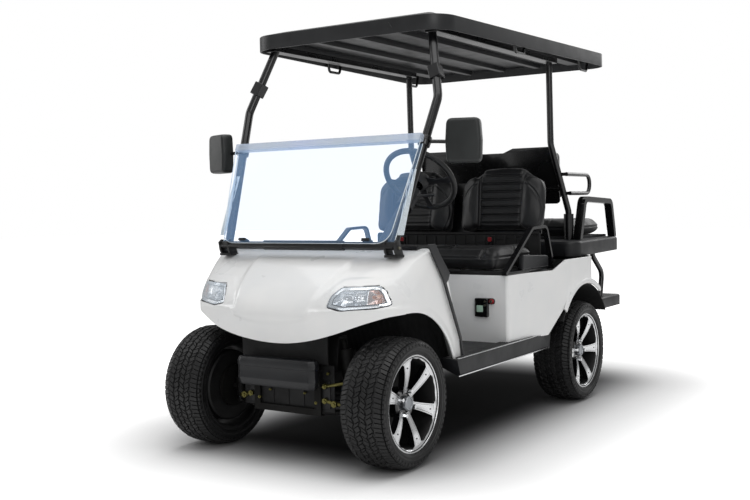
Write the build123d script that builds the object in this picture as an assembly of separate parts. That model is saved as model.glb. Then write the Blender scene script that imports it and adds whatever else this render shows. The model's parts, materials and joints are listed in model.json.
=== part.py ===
"""Four-seat golf cart with a rear-facing flip seat, as separate closed solids in millimetres.

Working axes while modelling: X to the vehicle's left, Y rearwards from the front axle, Z up
from the ground.  The last step moves everything so that the origin is under the middle.
"""
from build123d import *
from math import atan2, cos, degrees, radians, sin
import os

os.makedirs("parts", exist_ok=True)

# ---- clearances and walls ----
SEAT_GAP = 0.3            # soft or curved faces that rest on another piece
SKIN = 6.0                # moulded body panels
WIDE = 700.0              # further out than any piece, for cuts right across

# ---- wheels ----
WHEELBASE = 1665.0
FRONT_TRACK = 940.0       # between tyre middles
REAR_TRACK = 1072.0
TYRE_RADIUS = 265.0
TYRE_WIDTH = 204.0
TREAD_WIDTH = 172.0
BEAD_RADIUS = 186.0
RIM_LIP_RADIUS = 199.0
RIM_WALL = 7.0
RIM_BARREL_RADIUS = 176.0
RIM_WIDTH = 176.0
SPOKE_COUNT = 6
SPOKE_WIDTH = 46.0
SPOKE_THICK = 22.0
HUB_CAP_RADIUS = 30.0
HUB_RADIUS = 66.0
HUB_FACE_INSET = 48.0     # hub face behind the rim's outer lip

# ---- steering and suspension ----
KINGPIN_X = 338.0
KINGPIN_RADIUS = 15.0
STEER_ARM = 118.0
AXLE_STUB_RADIUS = 17.0
RACK_Z = 258.0
RACK_RADIUS = 13.0
RACK_HOUSING_RADIUS = 22.0
RACK_HOUSING_HALF = 130.0
RACK_TRAVEL = 66.0        # each way, with its clearance
TIE_ROD_RADIUS = 8.0
COLUMN_TILT = 41.0        # degrees above level
STEERING_WHEEL_RADIUS = 180.0
STEERING_GRIP_RADIUS = 13.5
STEERING_CENTRE = (282.0, 545.0, 1172.0)
COLUMN_RADIUS = 24.0

# ---- frame ----
RAIL_X = 160.0            # rail middles
RAIL_WIDTH = 44.0
RAIL_HEIGHT = 60.0
RAIL_TOP = 384.0
RAIL_FRONT_Y = -120.0
KICK_START_Y = WHEELBASE - 360
KICK_END_Y = WHEELBASE - 225
REAR_RAIL_TOP = 500.0
RAIL_REAR_Y = WHEELBASE + 625
CROSS_SIZE = 40.0
TOWER_TOP = 520.0

# ---- body ----
FLOOR_Z = 396.0
FLOOR_THICK = 12.0
FENDER_X = 560.0
COWL_REAR_Y = 400.0
VALANCE_X = 225.0         # dark shield behind the bumper, up to the cowl
SHOULDER_POINT = (430.0, -20.0, 835.0)      # on the slant from hood to fender
SHOULDER_NORMAL = (0.539, -0.6065, 0.585)
COWL_FLANGE = 6.0         # return edge round the open rear
COWL_FOOT_Z = 382.0
NOSE_Y = -231.0
NOSE_PLAN_RADIUS = 1000.0
NOSE_CORNER_RADIUS = 110.0
NOSE_CREASE_Z = 621.0
NOSE_BOTTOM_Y = -168.0
NOSE_BOTTOM_Z = 481.0
COWL_TOP_Z = 892.0
HOOD_FOOT_Y = 42.0
HOOD_FOOT_Z = 848.0
FRONT_ARCH_RADIUS = 363.0
SILL_OUT_X = 586.0
SILL_IN_X = 500.0
SILL_LOW_Z = 322.0
SILL_FRONT_Y = 318.0
SEAT_BASE_FRONT_Y = WHEELBASE - 789      # the seats and the rear body go with the rear axle
SEAT_BASE_X = 556.0
SEAT_BASE_TOP_Z = 716.0
REAR_FENDER_X = 636.0
REAR_BODY_Y = WHEELBASE + 197
REAR_ARCH_RADIUS = 358.0
SILL_REAR_Y = WHEELBASE - REAR_ARCH_RADIUS - 7
REAR_BODY_TOP_Z = 764.0
DECK_FRONT_X = 604.0
DECK_REAR_X = 532.0
DECK_FRONT_Y = WHEELBASE - 39
DECK_REAR_Y = WHEELBASE + 797
DECK_TOP_Z = 846.0
DECK_THICK = 80.0

# ---- seats ----
HINGE_RADIUS = 6.0
CUSHION_X = 515.0
CUSHION_LOW_Z = 736.0
CUSHION_TOP_Z = 852.0
CUSHION_FRONT_Y = SEAT_BASE_FRONT_Y - 18
CUSHION_REAR_Y = CUSHION_FRONT_Y + 472
BACK_LOW_Z = 905.0
BACK_TOP_Z = 1248.0
BACK_FRONT_Y = CUSHION_REAR_Y + 32
BACK_THICK = 105.0
BACK_RAKE = 9.0           # degrees
SEAT_BACK_MIDDLE_X = 268.0
SEAT_BACK_WIDTH = 478.0

# ---- rear seat ----
REAR_CUSHION_X = 464.0
REAR_CUSHION_FRONT_Y = WHEELBASE + 270
REAR_CUSHION_REAR_Y = DECK_REAR_Y - 32
REAR_CUSHION_THICK = 112.0
REAR_BOARD_THICK = 14.0
REAR_POST_X = 452.0
REAR_POST_Y = WHEELBASE + 215
REAR_BACK_X = 425.0
REAR_BACK_LOW_Z = 1056.0
REAR_BACK_TOP_Z = 1345.0
REAR_BACK_THICK = 96.0
FOOTREST_X = 482.0
FOOTREST_FRONT_Y = RAIL_REAR_Y + 6
FOOTREST_REAR_Y = FOOTREST_FRONT_Y + 336
FOOTREST_TOP_Z = 482.0
FOOTREST_HEIGHT = 64.0

# ---- roof ----
ROOF_FRONT_X = 520.0
ROOF_REAR_X = 627.0
ROOF_FRONT_Y = 330.0
ROOF_REAR_Y = WHEELBASE + 397
ROOF_LIP_Z = 1803.0
ROOF_LIP_HEIGHT = 68.0
ROOF_CROWN = 26.0
ROOF_WALL = 8.0
ROOF_CORNER_FRONT = 130.0
ROOF_CORNER_REAR = 110.0
PILLAR_RADIUS = 19.0
PILLAR_POINTS = ((440.0, 50.0, 880.0), (516.0, 311.0, 1511.0), (430.0, 418.0, 1812.0))
STRUT_RADIUS = 17.0

# ---- windshield ----
PANE_THICK = 5.0
PANE_LOW_Z = 900.0
PANE_TOP_Z = 1325.0
PANE_LOW_X = 457.0
PANE_TOP_X = 503.0
FOLD_GAP = 22.0

# ---- overhangs set where the origin lies ----
FRONT_END_Y = -TYRE_RADIUS
REAR_END_Y = FOOTREST_REAR_Y
MIDDLE_Y = (FRONT_END_Y + REAR_END_Y) / 2


# ---------------------------------------------------------------- helpers
def block(x, y, z):
    """A box from (low, high) pairs."""
    size = (x[1] - x[0], y[1] - y[0], z[1] - z[0])
    middle = ((x[0] + x[1]) / 2, (y[0] + y[1]) / 2, (z[0] + z[1]) / 2)
    return Pos(*middle) * Box(*size)


def outline_face(points, radii=0.0):
    """A flat face from corner points, rounded by one radius or one for each corner."""
    if radii == 0.0:
        return make_face(Polyline(*points, close=True))
    return make_face(FilletPolyline(*points, radius=radii, close=True))


def side_shape(points, x, radii=0.0):
    """An outline of (y, z) points, as thick as the pair x."""
    return extrude(Plane.YZ.offset(x[0]) * outline_face(points, radii), amount=x[1] - x[0])


def front_shape(points, y, radii=0.0):
    """An outline of (x, z) points, as thick as the pair y."""
    return extrude(Plane.XZ.offset(-y[0]) * outline_face(points, radii), amount=-(y[1] - y[0]))


def plan_shape(points, z, radii=0.0):
    """An outline of (x, y) points, as thick as the pair z."""
    return extrude(Plane.XY.offset(z[0]) * outline_face(points, radii), amount=z[1] - z[0])


def rod(start, end, radius):
    """A round bar between two points."""
    run = Vector(*end) - Vector(*start)
    return extrude(Plane(origin=start, z_dir=run) * Circle(radius), amount=run.length)


def bent_tube(points, radius, bend):
    """A round tube along straight runs with rounded corners."""
    path = FilletPolyline(*points, radius=bend)
    section = Plane(origin=path @ 0, z_dir=path % 0) * Circle(radius)
    return sweep(section, path=path)


def bent_strap(points, width, thick, bend, side=(1, 0, 0)):
    """A flat strap along a bent path; width lies along the side direction."""
    path = FilletPolyline(*points, radius=bend)
    plane = Plane(origin=path @ 0, z_dir=path % 0, x_dir=side)
    return sweep(plane * Rectangle(width, thick), path=path)


def mirrored(shape):
    """The same piece on the vehicle's other side."""
    return mirror(shape, about=Plane.YZ)


def both_sides(shape):
    """A piece and its mirror image."""
    return Part() + [shape, mirrored(shape)]


def between(start, end, share):
    """The point at a share of the way from start to end."""
    return tuple(a + (b - a) * share for a, b in zip(start, end))


nodes = {}


# ---------------------------------------------------------------- wheels
def tyre_profile():
    half = TYRE_WIDTH / 2
    tread = TREAD_WIDTH / 2
    shoulder = TYRE_RADIUS - 16
    bulge = (BEAD_RADIUS + TYRE_RADIUS) / 2
    seat = RIM_WIDTH / 2 + 4 - RIM_WALL - 6
    edges = [
        Line((BEAD_RADIUS, -seat), (BEAD_RADIUS, seat)),
        Line((BEAD_RADIUS, seat), (RIM_LIP_RADIUS, seat + 5)),
        Line((RIM_LIP_RADIUS, seat + 5), (RIM_LIP_RADIUS, half - 8)),
        Line((RIM_LIP_RADIUS, half - 8), (bulge + 8, half)),
        Line((bulge + 8, half), (shoulder, half - 6)),
        Line((shoulder, half - 6), (TYRE_RADIUS - 3, tread)),
        Line((TYRE_RADIUS - 3, tread), (TYRE_RADIUS, tread - 30)),
        Line((TYRE_RADIUS, tread - 30), (TYRE_RADIUS, 30 - tread)),
        Line((TYRE_RADIUS, 30 - tread), (TYRE_RADIUS - 3, -tread)),
        Line((TYRE_RADIUS - 3, -tread), (shoulder, 6 - half)),
        Line((shoulder, 6 - half), (bulge + 8, -half)),
        Line((bulge + 8, -half), (RIM_LIP_RADIUS, 8 - half)),
        Line((RIM_LIP_RADIUS, 8 - half), (RIM_LIP_RADIUS, -seat - 5)),
        Line((RIM_LIP_RADIUS, -seat - 5), (BEAD_RADIUS, -seat)),
    ]
    return make_face(edges)


def tyre():
    """The tyre about the X axis through the origin."""
    face = Plane.YX * tyre_profile()
    return revolve(face, axis=Axis.X)


def rim():
    """A six-spoke wheel whose outer face looks to +X."""
    half = RIM_WIDTH / 2
    lip = half + 4
    step = RIM_BARREL_RADIUS
    barrel_points = [
        (RIM_LIP_RADIUS - 2, lip),
        (RIM_LIP_RADIUS - 2, lip - RIM_WALL),
        (BEAD_RADIUS - SEAT_GAP, lip - RIM_WALL - 5),
        (BEAD_RADIUS - SEAT_GAP, RIM_WALL + 5 - lip),
        (RIM_LIP_RADIUS - 2, RIM_WALL - lip),
        (RIM_LIP_RADIUS - 2, -lip),
        (step + 4, -lip),
        (step, 20 - lip),
        (step, lip - 20),
        (step + 4, lip),
    ]
    barrel = revolve(Plane.YX * outline_face(barrel_points), axis=Axis.X)
    hub_face = half - HUB_FACE_INSET
    hub = Pos(hub_face - 20, 0, 0) * Rot(0, 90, 0) * Cylinder(HUB_RADIUS, 40)
    bore = Pos(hub_face - 60, 0, 0) * Rot(0, 90, 0) * Cylinder(AXLE_STUB_RADIUS + SEAT_GAP, 80)
    cap = Pos(hub_face + 10, 0, 0) * Rot(0, 90, 0) * Cylinder(HUB_CAP_RADIUS, 36)
    inner = (hub_face - 24, HUB_RADIUS - 8)
    outer = (lip - 8, step + 6)
    spoke_side = [
        (inner[0], inner[1]),
        (inner[0] + SPOKE_THICK, inner[1]),
        (outer[0], outer[1]),
        (outer[0] - SPOKE_THICK, outer[1]),
    ]
    spoke = extrude(Plane.XZ.offset(-SPOKE_WIDTH / 2) * outline_face(spoke_side), amount=SPOKE_WIDTH)
    wheel = barrel + hub + cap - bore
    for number in range(SPOKE_COUNT):
        wheel = wheel + Rot(number * 360 / SPOKE_COUNT, 0, 0) * spoke
    return wheel


WHEELS = (
    # name, track, y, side, spoke turn in degrees
    ("front_left", FRONT_TRACK, 0.0, 1, 12.0),
    ("front_right", FRONT_TRACK, 0.0, -1, 12.0),
    ("rear_left", REAR_TRACK, WHEELBASE, 1, 28.0),
    ("rear_right", REAR_TRACK, WHEELBASE, -1, 28.0),
)
for name, track, axle_y, side, turn in WHEELS:
    centre = Pos(side * track / 2, axle_y, TYRE_RADIUS)
    nodes["tyre_" + name] = centre * tyre()
    rim_shape = Rot(turn, 0, 0) * rim()
    nodes["rim_" + name] = centre * (rim_shape if side > 0 else mirrored(rim_shape))


# ---------------------------------------------------------------- knuckles and steering
def knuckle():
    """The left knuckle: kingpin post, stub axle, brake plate and steering arm."""
    post = Pos(KINGPIN_X, 0, TYRE_RADIUS) * Cylinder(KINGPIN_RADIUS + 9, 84)
    stub_end = FRONT_TRACK / 2 + RIM_WIDTH / 2 - HUB_FACE_INSET - 22
    stub = rod((KINGPIN_X, 0, TYRE_RADIUS), (stub_end, 0, TYRE_RADIUS), AXLE_STUB_RADIUS)
    plate = rod((KINGPIN_X + 34, 0, TYRE_RADIUS), (KINGPIN_X + 50, 0, TYRE_RADIUS), 92)
    arm = block(
        (KINGPIN_X - 16, KINGPIN_X + 12),
        (0, STEER_ARM + 14),
        (TYRE_RADIUS + 16, TYRE_RADIUS + 30),
    )
    return post + stub + plate + arm


nodes["knuckle_left"] = knuckle()
nodes["knuckle_right"] = mirrored(knuckle())

rack_y = STEER_ARM
tie_end_x = KINGPIN_X - 2
ball = Pos(tie_end_x, rack_y, RACK_Z + 6) * Sphere(13)
rack_end_x = RACK_HOUSING_HALF + RACK_TRAVEL
tie = rod((rack_end_x + 8, rack_y, RACK_Z), (tie_end_x - 6, rack_y, RACK_Z + 5), TIE_ROD_RADIUS)
bellows = rod((rack_end_x, rack_y, RACK_Z), (rack_end_x + 26, rack_y, RACK_Z), 15)
bar = rod((-rack_end_x - 4, rack_y, RACK_Z), (rack_end_x + 4, rack_y, RACK_Z), RACK_RADIUS)
nodes["steering_rack_bar"] = bar + both_sides(ball + tie + bellows)

column_dir = Vector(0, cos(radians(COLUMN_TILT)), sin(radians(COLUMN_TILT)))
wheel_plane = Plane(origin=STEERING_CENTRE, z_dir=column_dir, x_dir=(1, 0, 0))


def steering_wheel():
    """A three-spoke wheel with a padded hub, on its own plane."""
    ring = Torus(STEERING_WHEEL_RADIUS - STEERING_GRIP_RADIUS, STEERING_GRIP_RADIUS)
    wheel = ring + Pos(0, 0, -22) * Cylinder(52, 44)
    for angle in (0, 180, 90):
        arm = Pos(95, 0, -14) * Box(130, 34, 12)
        wheel = wheel + Rot(0, 0, angle) * arm
    boss = Pos(0, 0, -58) * Cylinder(20, 40)
    return wheel + boss


nodes["steering_wheel"] = wheel_plane * steering_wheel()
column_length = 440.0
column_middle = -78 - SEAT_GAP - column_length / 2
column = wheel_plane * (Pos(0, 0, column_middle) * Cylinder(COLUMN_RADIUS, column_length))
stalk = wheel_plane * (Pos(70, 0, -112) * Rot(0, 90, 0) * Cylinder(6, 110))
shroud = wheel_plane * (Pos(0, 0, -140) * Cylinder(38, 110))
nodes["steering_column"] = column + stalk + shroud

# ---------------------------------------------------------------- frame
rail = side_shape(
    [
        (RAIL_FRONT_Y, RAIL_TOP - RAIL_HEIGHT),
        (RAIL_FRONT_Y, RAIL_TOP),
        (KICK_START_Y, RAIL_TOP),
        (KICK_END_Y, REAR_RAIL_TOP),
        (RAIL_REAR_Y, REAR_RAIL_TOP),
        (RAIL_REAR_Y, REAR_RAIL_TOP - RAIL_HEIGHT),
        (KICK_END_Y + 14, REAR_RAIL_TOP - RAIL_HEIGHT),
        (KICK_START_Y + 14, RAIL_TOP - RAIL_HEIGHT),
    ],
    (RAIL_X - RAIL_WIDTH / 2, RAIL_X + RAIL_WIDTH / 2),
)
frame = rail + mirrored(rail)
CROSS_MEMBERS = (
    # middle y, half length, top z
    (RAIL_FRONT_Y + 30, 170.0, RAIL_TOP - 8),
    (COWL_REAR_Y + 70, SILL_IN_X, RAIL_TOP),
    (SEAT_BASE_FRONT_Y + 54, SILL_IN_X, RAIL_TOP),
    (KICK_START_Y - 105, SILL_IN_X, RAIL_TOP),
    (KICK_END_Y - 10, 400.0, REAR_RAIL_TOP - 10),
    (WHEELBASE + 320, 400.0, REAR_RAIL_TOP - 10),
    (RAIL_REAR_Y - 30, 400.0, REAR_RAIL_TOP - 10),
)
for cross_y, cross_half, cross_top in CROSS_MEMBERS:
    beam = block(
        (-cross_half, cross_half),
        (cross_y - CROSS_SIZE / 2, cross_y + CROSS_SIZE / 2),
        (cross_top - CROSS_SIZE, cross_top),
    )
    frame = frame + beam
tower = side_shape(
    [(-46, RAIL_TOP - 10), (46, RAIL_TOP - 10), (30, TOWER_TOP), (-30, TOWER_TOP)],
    (RAIL_X - 20, RAIL_X + 60),
)
tray = block((-390, 390), (SEAT_BASE_FRONT_Y + 16, KICK_START_Y - 5), (RAIL_TOP - 1, RAIL_TOP + 8))
frame = frame + tray + both_sides(tower) + block((-RAIL_X, RAIL_X), (-20, 20), (TOWER_TOP - 40, TOWER_TOP))
nodes["frame_rails"] = frame


def control_arm(height, reach):
    """One A-shaped arm from the rail out to the knuckle."""
    inner = RAIL_X + 4
    tip = (reach, 0, height)
    legs = rod((inner, -90, height), tip, 11) + rod((inner, 90, height), tip, 11)
    return legs + Pos(*tip) * Cylinder(20, 24)


LOWER_ARM_Z = TYRE_RADIUS - 42 - 12 - SEAT_GAP
carrier = block((-RAIL_X - 16, RAIL_X + 16), (-106, -78), (LOWER_ARM_Z - 14, LOWER_ARM_Z + 14))
carrier = carrier + block((-RAIL_X - 16, RAIL_X + 16), (78, 96), (LOWER_ARM_Z - 14, LOWER_ARM_Z + 14))
drop = block((RAIL_X - 16, RAIL_X + 16), (-106, -78), (LOWER_ARM_Z, RAIL_TOP - RAIL_HEIGHT))
drop = drop + block((RAIL_X - 16, RAIL_X + 16), (78, 96), (LOWER_ARM_Z, RAIL_TOP - RAIL_HEIGHT))
carrier = carrier + both_sides(drop)
shock_low = (KINGPIN_X - 62, 0, LOWER_ARM_Z + 6)
shock_high = (RAIL_X + 62, 0, TOWER_TOP - 16)
shock_mid = between(shock_low, shock_high, 0.22)
shock_top = between(shock_low, shock_high, 0.86)
side_parts = control_arm(LOWER_ARM_Z, KINGPIN_X) + rod(shock_low, shock_high, 12)
side_parts = side_parts + rod(shock_mid, shock_top, 30)
housing = rod((-RACK_HOUSING_HALF, rack_y, RACK_Z), (RACK_HOUSING_HALF, rack_y, RACK_Z), RACK_HOUSING_RADIUS)
housing = housing + block((-40, 40), (80, rack_y), (RACK_Z - 20, RAIL_TOP - RAIL_HEIGHT))
housing = housing - rod((-400, rack_y, RACK_Z), (400, rack_y, RACK_Z), RACK_RADIUS + 1)
nodes["front_suspension"] = carrier + both_sides(side_parts) + housing - frame

# ---------------------------------------------------------------- rear axle, motor and battery
AXLE_RADIUS = 34.0
hub_reach = REAR_TRACK / 2 + RIM_WIDTH / 2 - HUB_FACE_INSET - 22
axle = rod((-hub_reach, WHEELBASE, TYRE_RADIUS), (hub_reach, WHEELBASE, TYRE_RADIUS), AXLE_STUB_RADIUS)
axle = axle + rod((-420, WHEELBASE, TYRE_RADIUS), (420, WHEELBASE, TYRE_RADIUS), AXLE_RADIUS)
axle = axle + rod((-132, WHEELBASE, TYRE_RADIUS), (52, WHEELBASE, TYRE_RADIUS), 68)
axle = axle + rod((-104, WHEELBASE, TYRE_RADIUS), (24, WHEELBASE, TYRE_RADIUS), 92)
drum = rod((400, WHEELBASE, TYRE_RADIUS), (452, WHEELBASE, TYRE_RADIUS), 96)
axle = axle + both_sides(drum)
nodes["rear_axle"] = axle
motor_y = WHEELBASE + 183
nodes["drive_motor"] = (
    rod((-60, motor_y, TYRE_RADIUS + 20), (220, motor_y, TYRE_RADIUS + 20), 88)
    + block((-90, -10), (WHEELBASE + 35, motor_y + 12), (TYRE_RADIUS - 30, TYRE_RADIUS + 60))
    - axle
)

SPRING_X = 345.0
SPRING_HALF = 285.0
leaf_z = TYRE_RADIUS + AXLE_RADIUS + SEAT_GAP
spring = side_shape(
    [
        (WHEELBASE - SPRING_HALF, leaf_z + 62),
        (WHEELBASE - SPRING_HALF, leaf_z + 78),
        (WHEELBASE - 90, leaf_z + 32),
        (WHEELBASE + 90, leaf_z + 32),
        (WHEELBASE + SPRING_HALF, leaf_z + 78),
        (WHEELBASE + SPRING_HALF, leaf_z + 62),
        (WHEELBASE + 110, leaf_z),
        (WHEELBASE - 110, leaf_z),
    ],
    (SPRING_X - 25, SPRING_X + 25),
)
spring_x = (SPRING_X - 25, SPRING_X + 25)
hanger_z = (leaf_z + 50, REAR_RAIL_TOP - 50)
hanger = block(spring_x, (WHEELBASE - 265, WHEELBASE - 213), hanger_z)
shackle = block(spring_x, (WHEELBASE + 260, WHEELBASE + 300), hanger_z)
nodes["leaf_springs"] = both_sides(spring + hanger + shackle)

BATTERY_FRONT_Y = SEAT_BASE_FRONT_Y + SKIN + 26
BATTERY_LENGTH = 380.0
BATTERY_X = 365.0
BATTERY_TOP_Z = 664.0
battery_y = (BATTERY_FRONT_Y, BATTERY_FRONT_Y + BATTERY_LENGTH)
nodes["battery_pack"] = block((-BATTERY_X, BATTERY_X), battery_y, (RAIL_TOP + 8, BATTERY_TOP_Z))

# ---------------------------------------------------------------- bumper
BUMPER_X = 205.0
bumper_plan = [
    (-BUMPER_X, -178), (-BUMPER_X, -150), (-150, RAIL_FRONT_Y), (150, RAIL_FRONT_Y),
    (BUMPER_X, -150), (BUMPER_X, -178), (178, -196), (-178, -196),
]
bumper = plan_shape(bumper_plan, (316, 436))
bumper = chamfer(bumper.edges().filter_by(Axis.X).group_by(Axis.Y)[0], 10)
nodes["front_bumper"] = bumper


# ---------------------------------------------------------------- cowl
shoulder_plane = Plane(origin=SHOULDER_POINT, z_dir=SHOULDER_NORMAL)


def cowl_solid(inset):
    """The front body's outer form, drawn in by inset on every side."""
    side_points = [
        (NOSE_BOTTOM_Y + inset, NOSE_BOTTOM_Z - 60),
        (NOSE_BOTTOM_Y + inset, NOSE_BOTTOM_Z),
        (NOSE_Y + inset, NOSE_CREASE_Z),
        (NOSE_Y + 22 + inset, NOSE_CREASE_Z + 70 - inset * 0.6),
        (-120 + inset, 772 - inset * 0.8),
        (HOOD_FOOT_Y, HOOD_FOOT_Z - inset),
        (120, COWL_TOP_Z - inset),
        (178, COWL_TOP_Z - inset),
        (300, 762 + inset * 0.4),
        (COWL_REAR_Y - inset * 0.3, 470),
        (COWL_REAR_Y, COWL_FOOT_Z - 40),
    ]
    side = side_shape(side_points, (-FENDER_X, FENDER_X))
    wide = FENDER_X - inset
    nose_front = NOSE_Y + inset
    edge_y = nose_front + NOSE_PLAN_RADIUS - (NOSE_PLAN_RADIUS ** 2 - wide ** 2) ** 0.5
    face = make_face(
        [
            ThreePointArc((-wide, edge_y), (0, nose_front), (wide, edge_y)),
            Line((wide, edge_y), (wide, COWL_REAR_Y + 50)),
            Line((wide, COWL_REAR_Y + 50), (-wide, COWL_REAR_Y + 50)),
            Line((-wide, COWL_REAR_Y + 50), (-wide, edge_y)),
        ]
    )
    plan = extrude(face, amount=1200)
    corners = plan.edges().filter_by(Axis.Z).group_by(Axis.Y)[0]
    plan = fillet(corners, NOSE_CORNER_RADIUS)
    brow = wide + 3
    front = front_shape(
        [(-brow, 0), (-brow, COWL_TOP_Z + 20 - inset), (brow, COWL_TOP_Z + 20 - inset), (brow, 0)],
        (-300, COWL_REAR_Y + 60),
        [0, 90, 90, 0],
    )
    over = shoulder_plane * (Pos(0, 0, 500 - inset) * Box(2400, 2400, 1000))
    return (side & plan & front) - over - mirrored(over)


belly = make_face(
    [
        Line((-700, 0), (-700, 640)),
        Line((-700, 640), (-600, 628)),
        ThreePointArc((-600, 628), (-400, 590), (-250, 520)),
        ThreePointArc((-250, 520), (0, NOSE_BOTTOM_Z), (250, 520)),
        ThreePointArc((250, 520), (400, 590), (600, 628)),
        Line((600, 628), (700, 640)),
        Line((700, 640), (700, 0)),
        Line((700, 0), (-700, 0)),
    ]
)
belly_cut = extrude(Plane.XZ.offset(400) * belly, amount=-400)
arch_face = Pos(0, TYRE_RADIUS) * Circle(FRONT_ARCH_RADIUS)
arch_cut = extrude(Plane.YZ.offset(-700) * arch_face, amount=1400) & block((-WIDE, WIDE), (-30, 700), (0, 900))
foot_cut = block((-WIDE, WIDE), (-1, FRONT_ARCH_RADIUS), (0, TYRE_RADIUS))
cowl = cowl_solid(0) - cowl_solid(SKIN) - belly_cut - arch_cut - foot_cut
open_x = FENDER_X - SKIN - COWL_FLANGE
open_top = COWL_TOP_Z + 20 - SKIN - COWL_FLANGE
rear_open = front_shape(
    [(-open_x, 0), (-open_x, open_top), (open_x, open_top), (open_x, 0)],
    (130, COWL_REAR_Y + 60),
    [0, 90, 90, 0],
)
rear_open = rear_open & block((-WIDE, WIDE), (100, 700), (-1, COWL_TOP_Z - SKIN - COWL_FLANGE))
bottom_cut = block((-WIDE, WIDE), (-400, 700), (0, COWL_FOOT_Z))
nodes["cowl"] = cowl - rear_open - bottom_cut

trim_points = [
    (119, 897), (178, 897), (222, 848), (300, 768), (288, 742), (270, 728),
    (396, 486), (412, 405), (398, 405), (384, 470), (262, 700), (240, 746), (161, 842),
]
trim = side_shape(trim_points, (FENDER_X + SEAT_GAP, FENDER_X + 7))
nodes["cowl_trims"] = both_sides(trim)


# ---------------------------------------------------------------- headlights
def headlight():
    """A wedge-shaped lens set into the cowl's front corner."""
    lamp = front_shape(
        [(262, 648), (300, 735), (470, 752), (496, 740), (516, 672), (470, 652)],
        (-260, 60),
        [14, 14, 10, 10, 16, 10],
    )
    skin = cowl_solid(-1.5) - cowl_solid(SKIN + 20)
    return lamp & skin


lamp_left = headlight()
nodes["headlights"] = both_sides(lamp_left)
lamp_hole = front_shape(
    [(261, 647), (300, 736), (470, 753), (497, 741), (517, 672), (470, 651)],
    (-260, 60),
    [14, 14, 10, 10, 16, 10],
)
nodes["cowl"] = nodes["cowl"] - both_sides(lamp_hole)

# ---------------------------------------------------------------- dashboard, floor and sills
DASH_X = 500.0
dash_profile = [
    (140, COWL_TOP_Z - SKIN - SEAT_GAP), (262, COWL_TOP_Z - 22), (330, 800), (352, 700), (330, 610),
    (318, 610), (300, 690), (250, 690), (250, 700), (308, 702), (318, 790), (252, 862), (140, 876),
]
hole_middle = -78 - column_length / 2
column_hole = wheel_plane * (Pos(0, 0, hole_middle) * Cylinder(COLUMN_RADIUS + SEAT_GAP, column_length + 20))
nodes["dashboard"] = side_shape(dash_profile, (-DASH_X, DASH_X)) - column_hole
nodes["cowl"] = nodes["cowl"] - column_hole

toe_points = [
    (COWL_REAR_Y + 20, FLOOR_Z), (COWL_REAR_Y + 16, FLOOR_Z - FLOOR_THICK),
    (SEAT_BASE_FRONT_Y - 1, FLOOR_Z - FLOOR_THICK), (SEAT_BASE_FRONT_Y - 1, FLOOR_Z),
]
floor = side_shape(toe_points, (-SILL_IN_X + 1, SILL_IN_X - 1))
toe_board = side_shape(
    [(COWL_REAR_Y + 20, FLOOR_Z), (318, 609), (306, 609), (COWL_REAR_Y + 4, FLOOR_Z - FLOOR_THICK),
     (COWL_REAR_Y + 17, FLOOR_Z - FLOOR_THICK)],
    (-SILL_IN_X + 1, SILL_IN_X - 1),
)
nodes["floor_mat"] = floor + toe_board

sill = front_shape(
    [
        (SILL_IN_X, FLOOR_Z - 40), (SILL_IN_X, FLOOR_Z + 2), (SILL_IN_X + 14, FLOOR_Z + 6),
        (SILL_OUT_X, FLOOR_Z + 2), (SILL_OUT_X - 8, SILL_LOW_Z), (SILL_OUT_X - 22, SILL_LOW_Z),
    ],
    (SILL_FRONT_Y, SILL_REAR_Y),
)
slant_y = SILL_FRONT_Y - 1
slant_points = [(slant_y, SILL_LOW_Z - 1), (slant_y, FLOOR_Z), (slant_y + 41, SILL_LOW_Z - 1)]
slant = side_shape(slant_points, (400, WIDE))
nodes["sills"] = both_sides(sill - slant) - nodes["cowl"]

PEDALS = (
    # middle x, width, height
    (190.0, 62.0, 120.0),
    (300.0, 92.0, 110.0),
)
pedals = Part()
for pedal_x, pedal_width, pedal_height in PEDALS:
    pad = Pos(pedal_x, 452, FLOOR_Z + 92) * Rot(32, 0, 0) * Box(pedal_width, 12, pedal_height)
    arm = rod((pedal_x, 442, FLOOR_Z + 1.2), (pedal_x, 452, FLOOR_Z + 92), 9)
    pedals = pedals + [pad + arm]
nodes["pedals"] = pedals


# ---------------------------------------------------------------- seat base and rear body
def body_plan(inset):
    """The rear body's outline seen from above, drawn in by inset."""
    base = SEAT_BASE_X - inset
    wide = REAR_FENDER_X - inset
    front = SEAT_BASE_FRONT_Y + inset
    rear = REAR_BODY_Y - inset
    flare = SEAT_BASE_FRONT_Y + 204
    full = WHEELBASE - 245
    points = [
        (-base, front), (-base - 8, flare), (-wide, full), (-wide, rear),
        (wide, rear), (wide, full), (base + 8, flare), (base, front),
    ]
    return outline_face(points, [18, 300, 400, 150, 150, 400, 300, 18])


rear_arch = Plane.YZ.offset(-WIDE) * Pos(WHEELBASE, TYRE_RADIUS) * Circle(REAR_ARCH_RADIUS)
rear_arch = extrude(rear_arch, amount=2 * WIDE)
arch_points = [
    (WHEELBASE - 440, 380), (WHEELBASE - 293, 510), (WHEELBASE - 165, 590),
    (WHEELBASE + 35, 500), (WHEELBASE + 35, 380),
]
arch_front = side_shape(arch_points, (-WIDE, WIDE))
rear_low = block((-WIDE, WIDE), (WHEELBASE, WHEELBASE + 335), (300, TYRE_RADIUS + REAR_ARCH_RADIUS - 40))
outer = extrude(Plane.XY.offset(FLOOR_Z) * body_plan(0), amount=REAR_BODY_TOP_Z - FLOOR_Z)
inner = extrude(Plane.XY.offset(FLOOR_Z - 10) * body_plan(SKIN), amount=REAR_BODY_TOP_Z - FLOOR_Z + 20)
STEP_LOW_Y = SEAT_BASE_FRONT_Y + 414       # the body rises behind the front seat
STEP_HIGH_Y = STEP_LOW_Y + 110
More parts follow.
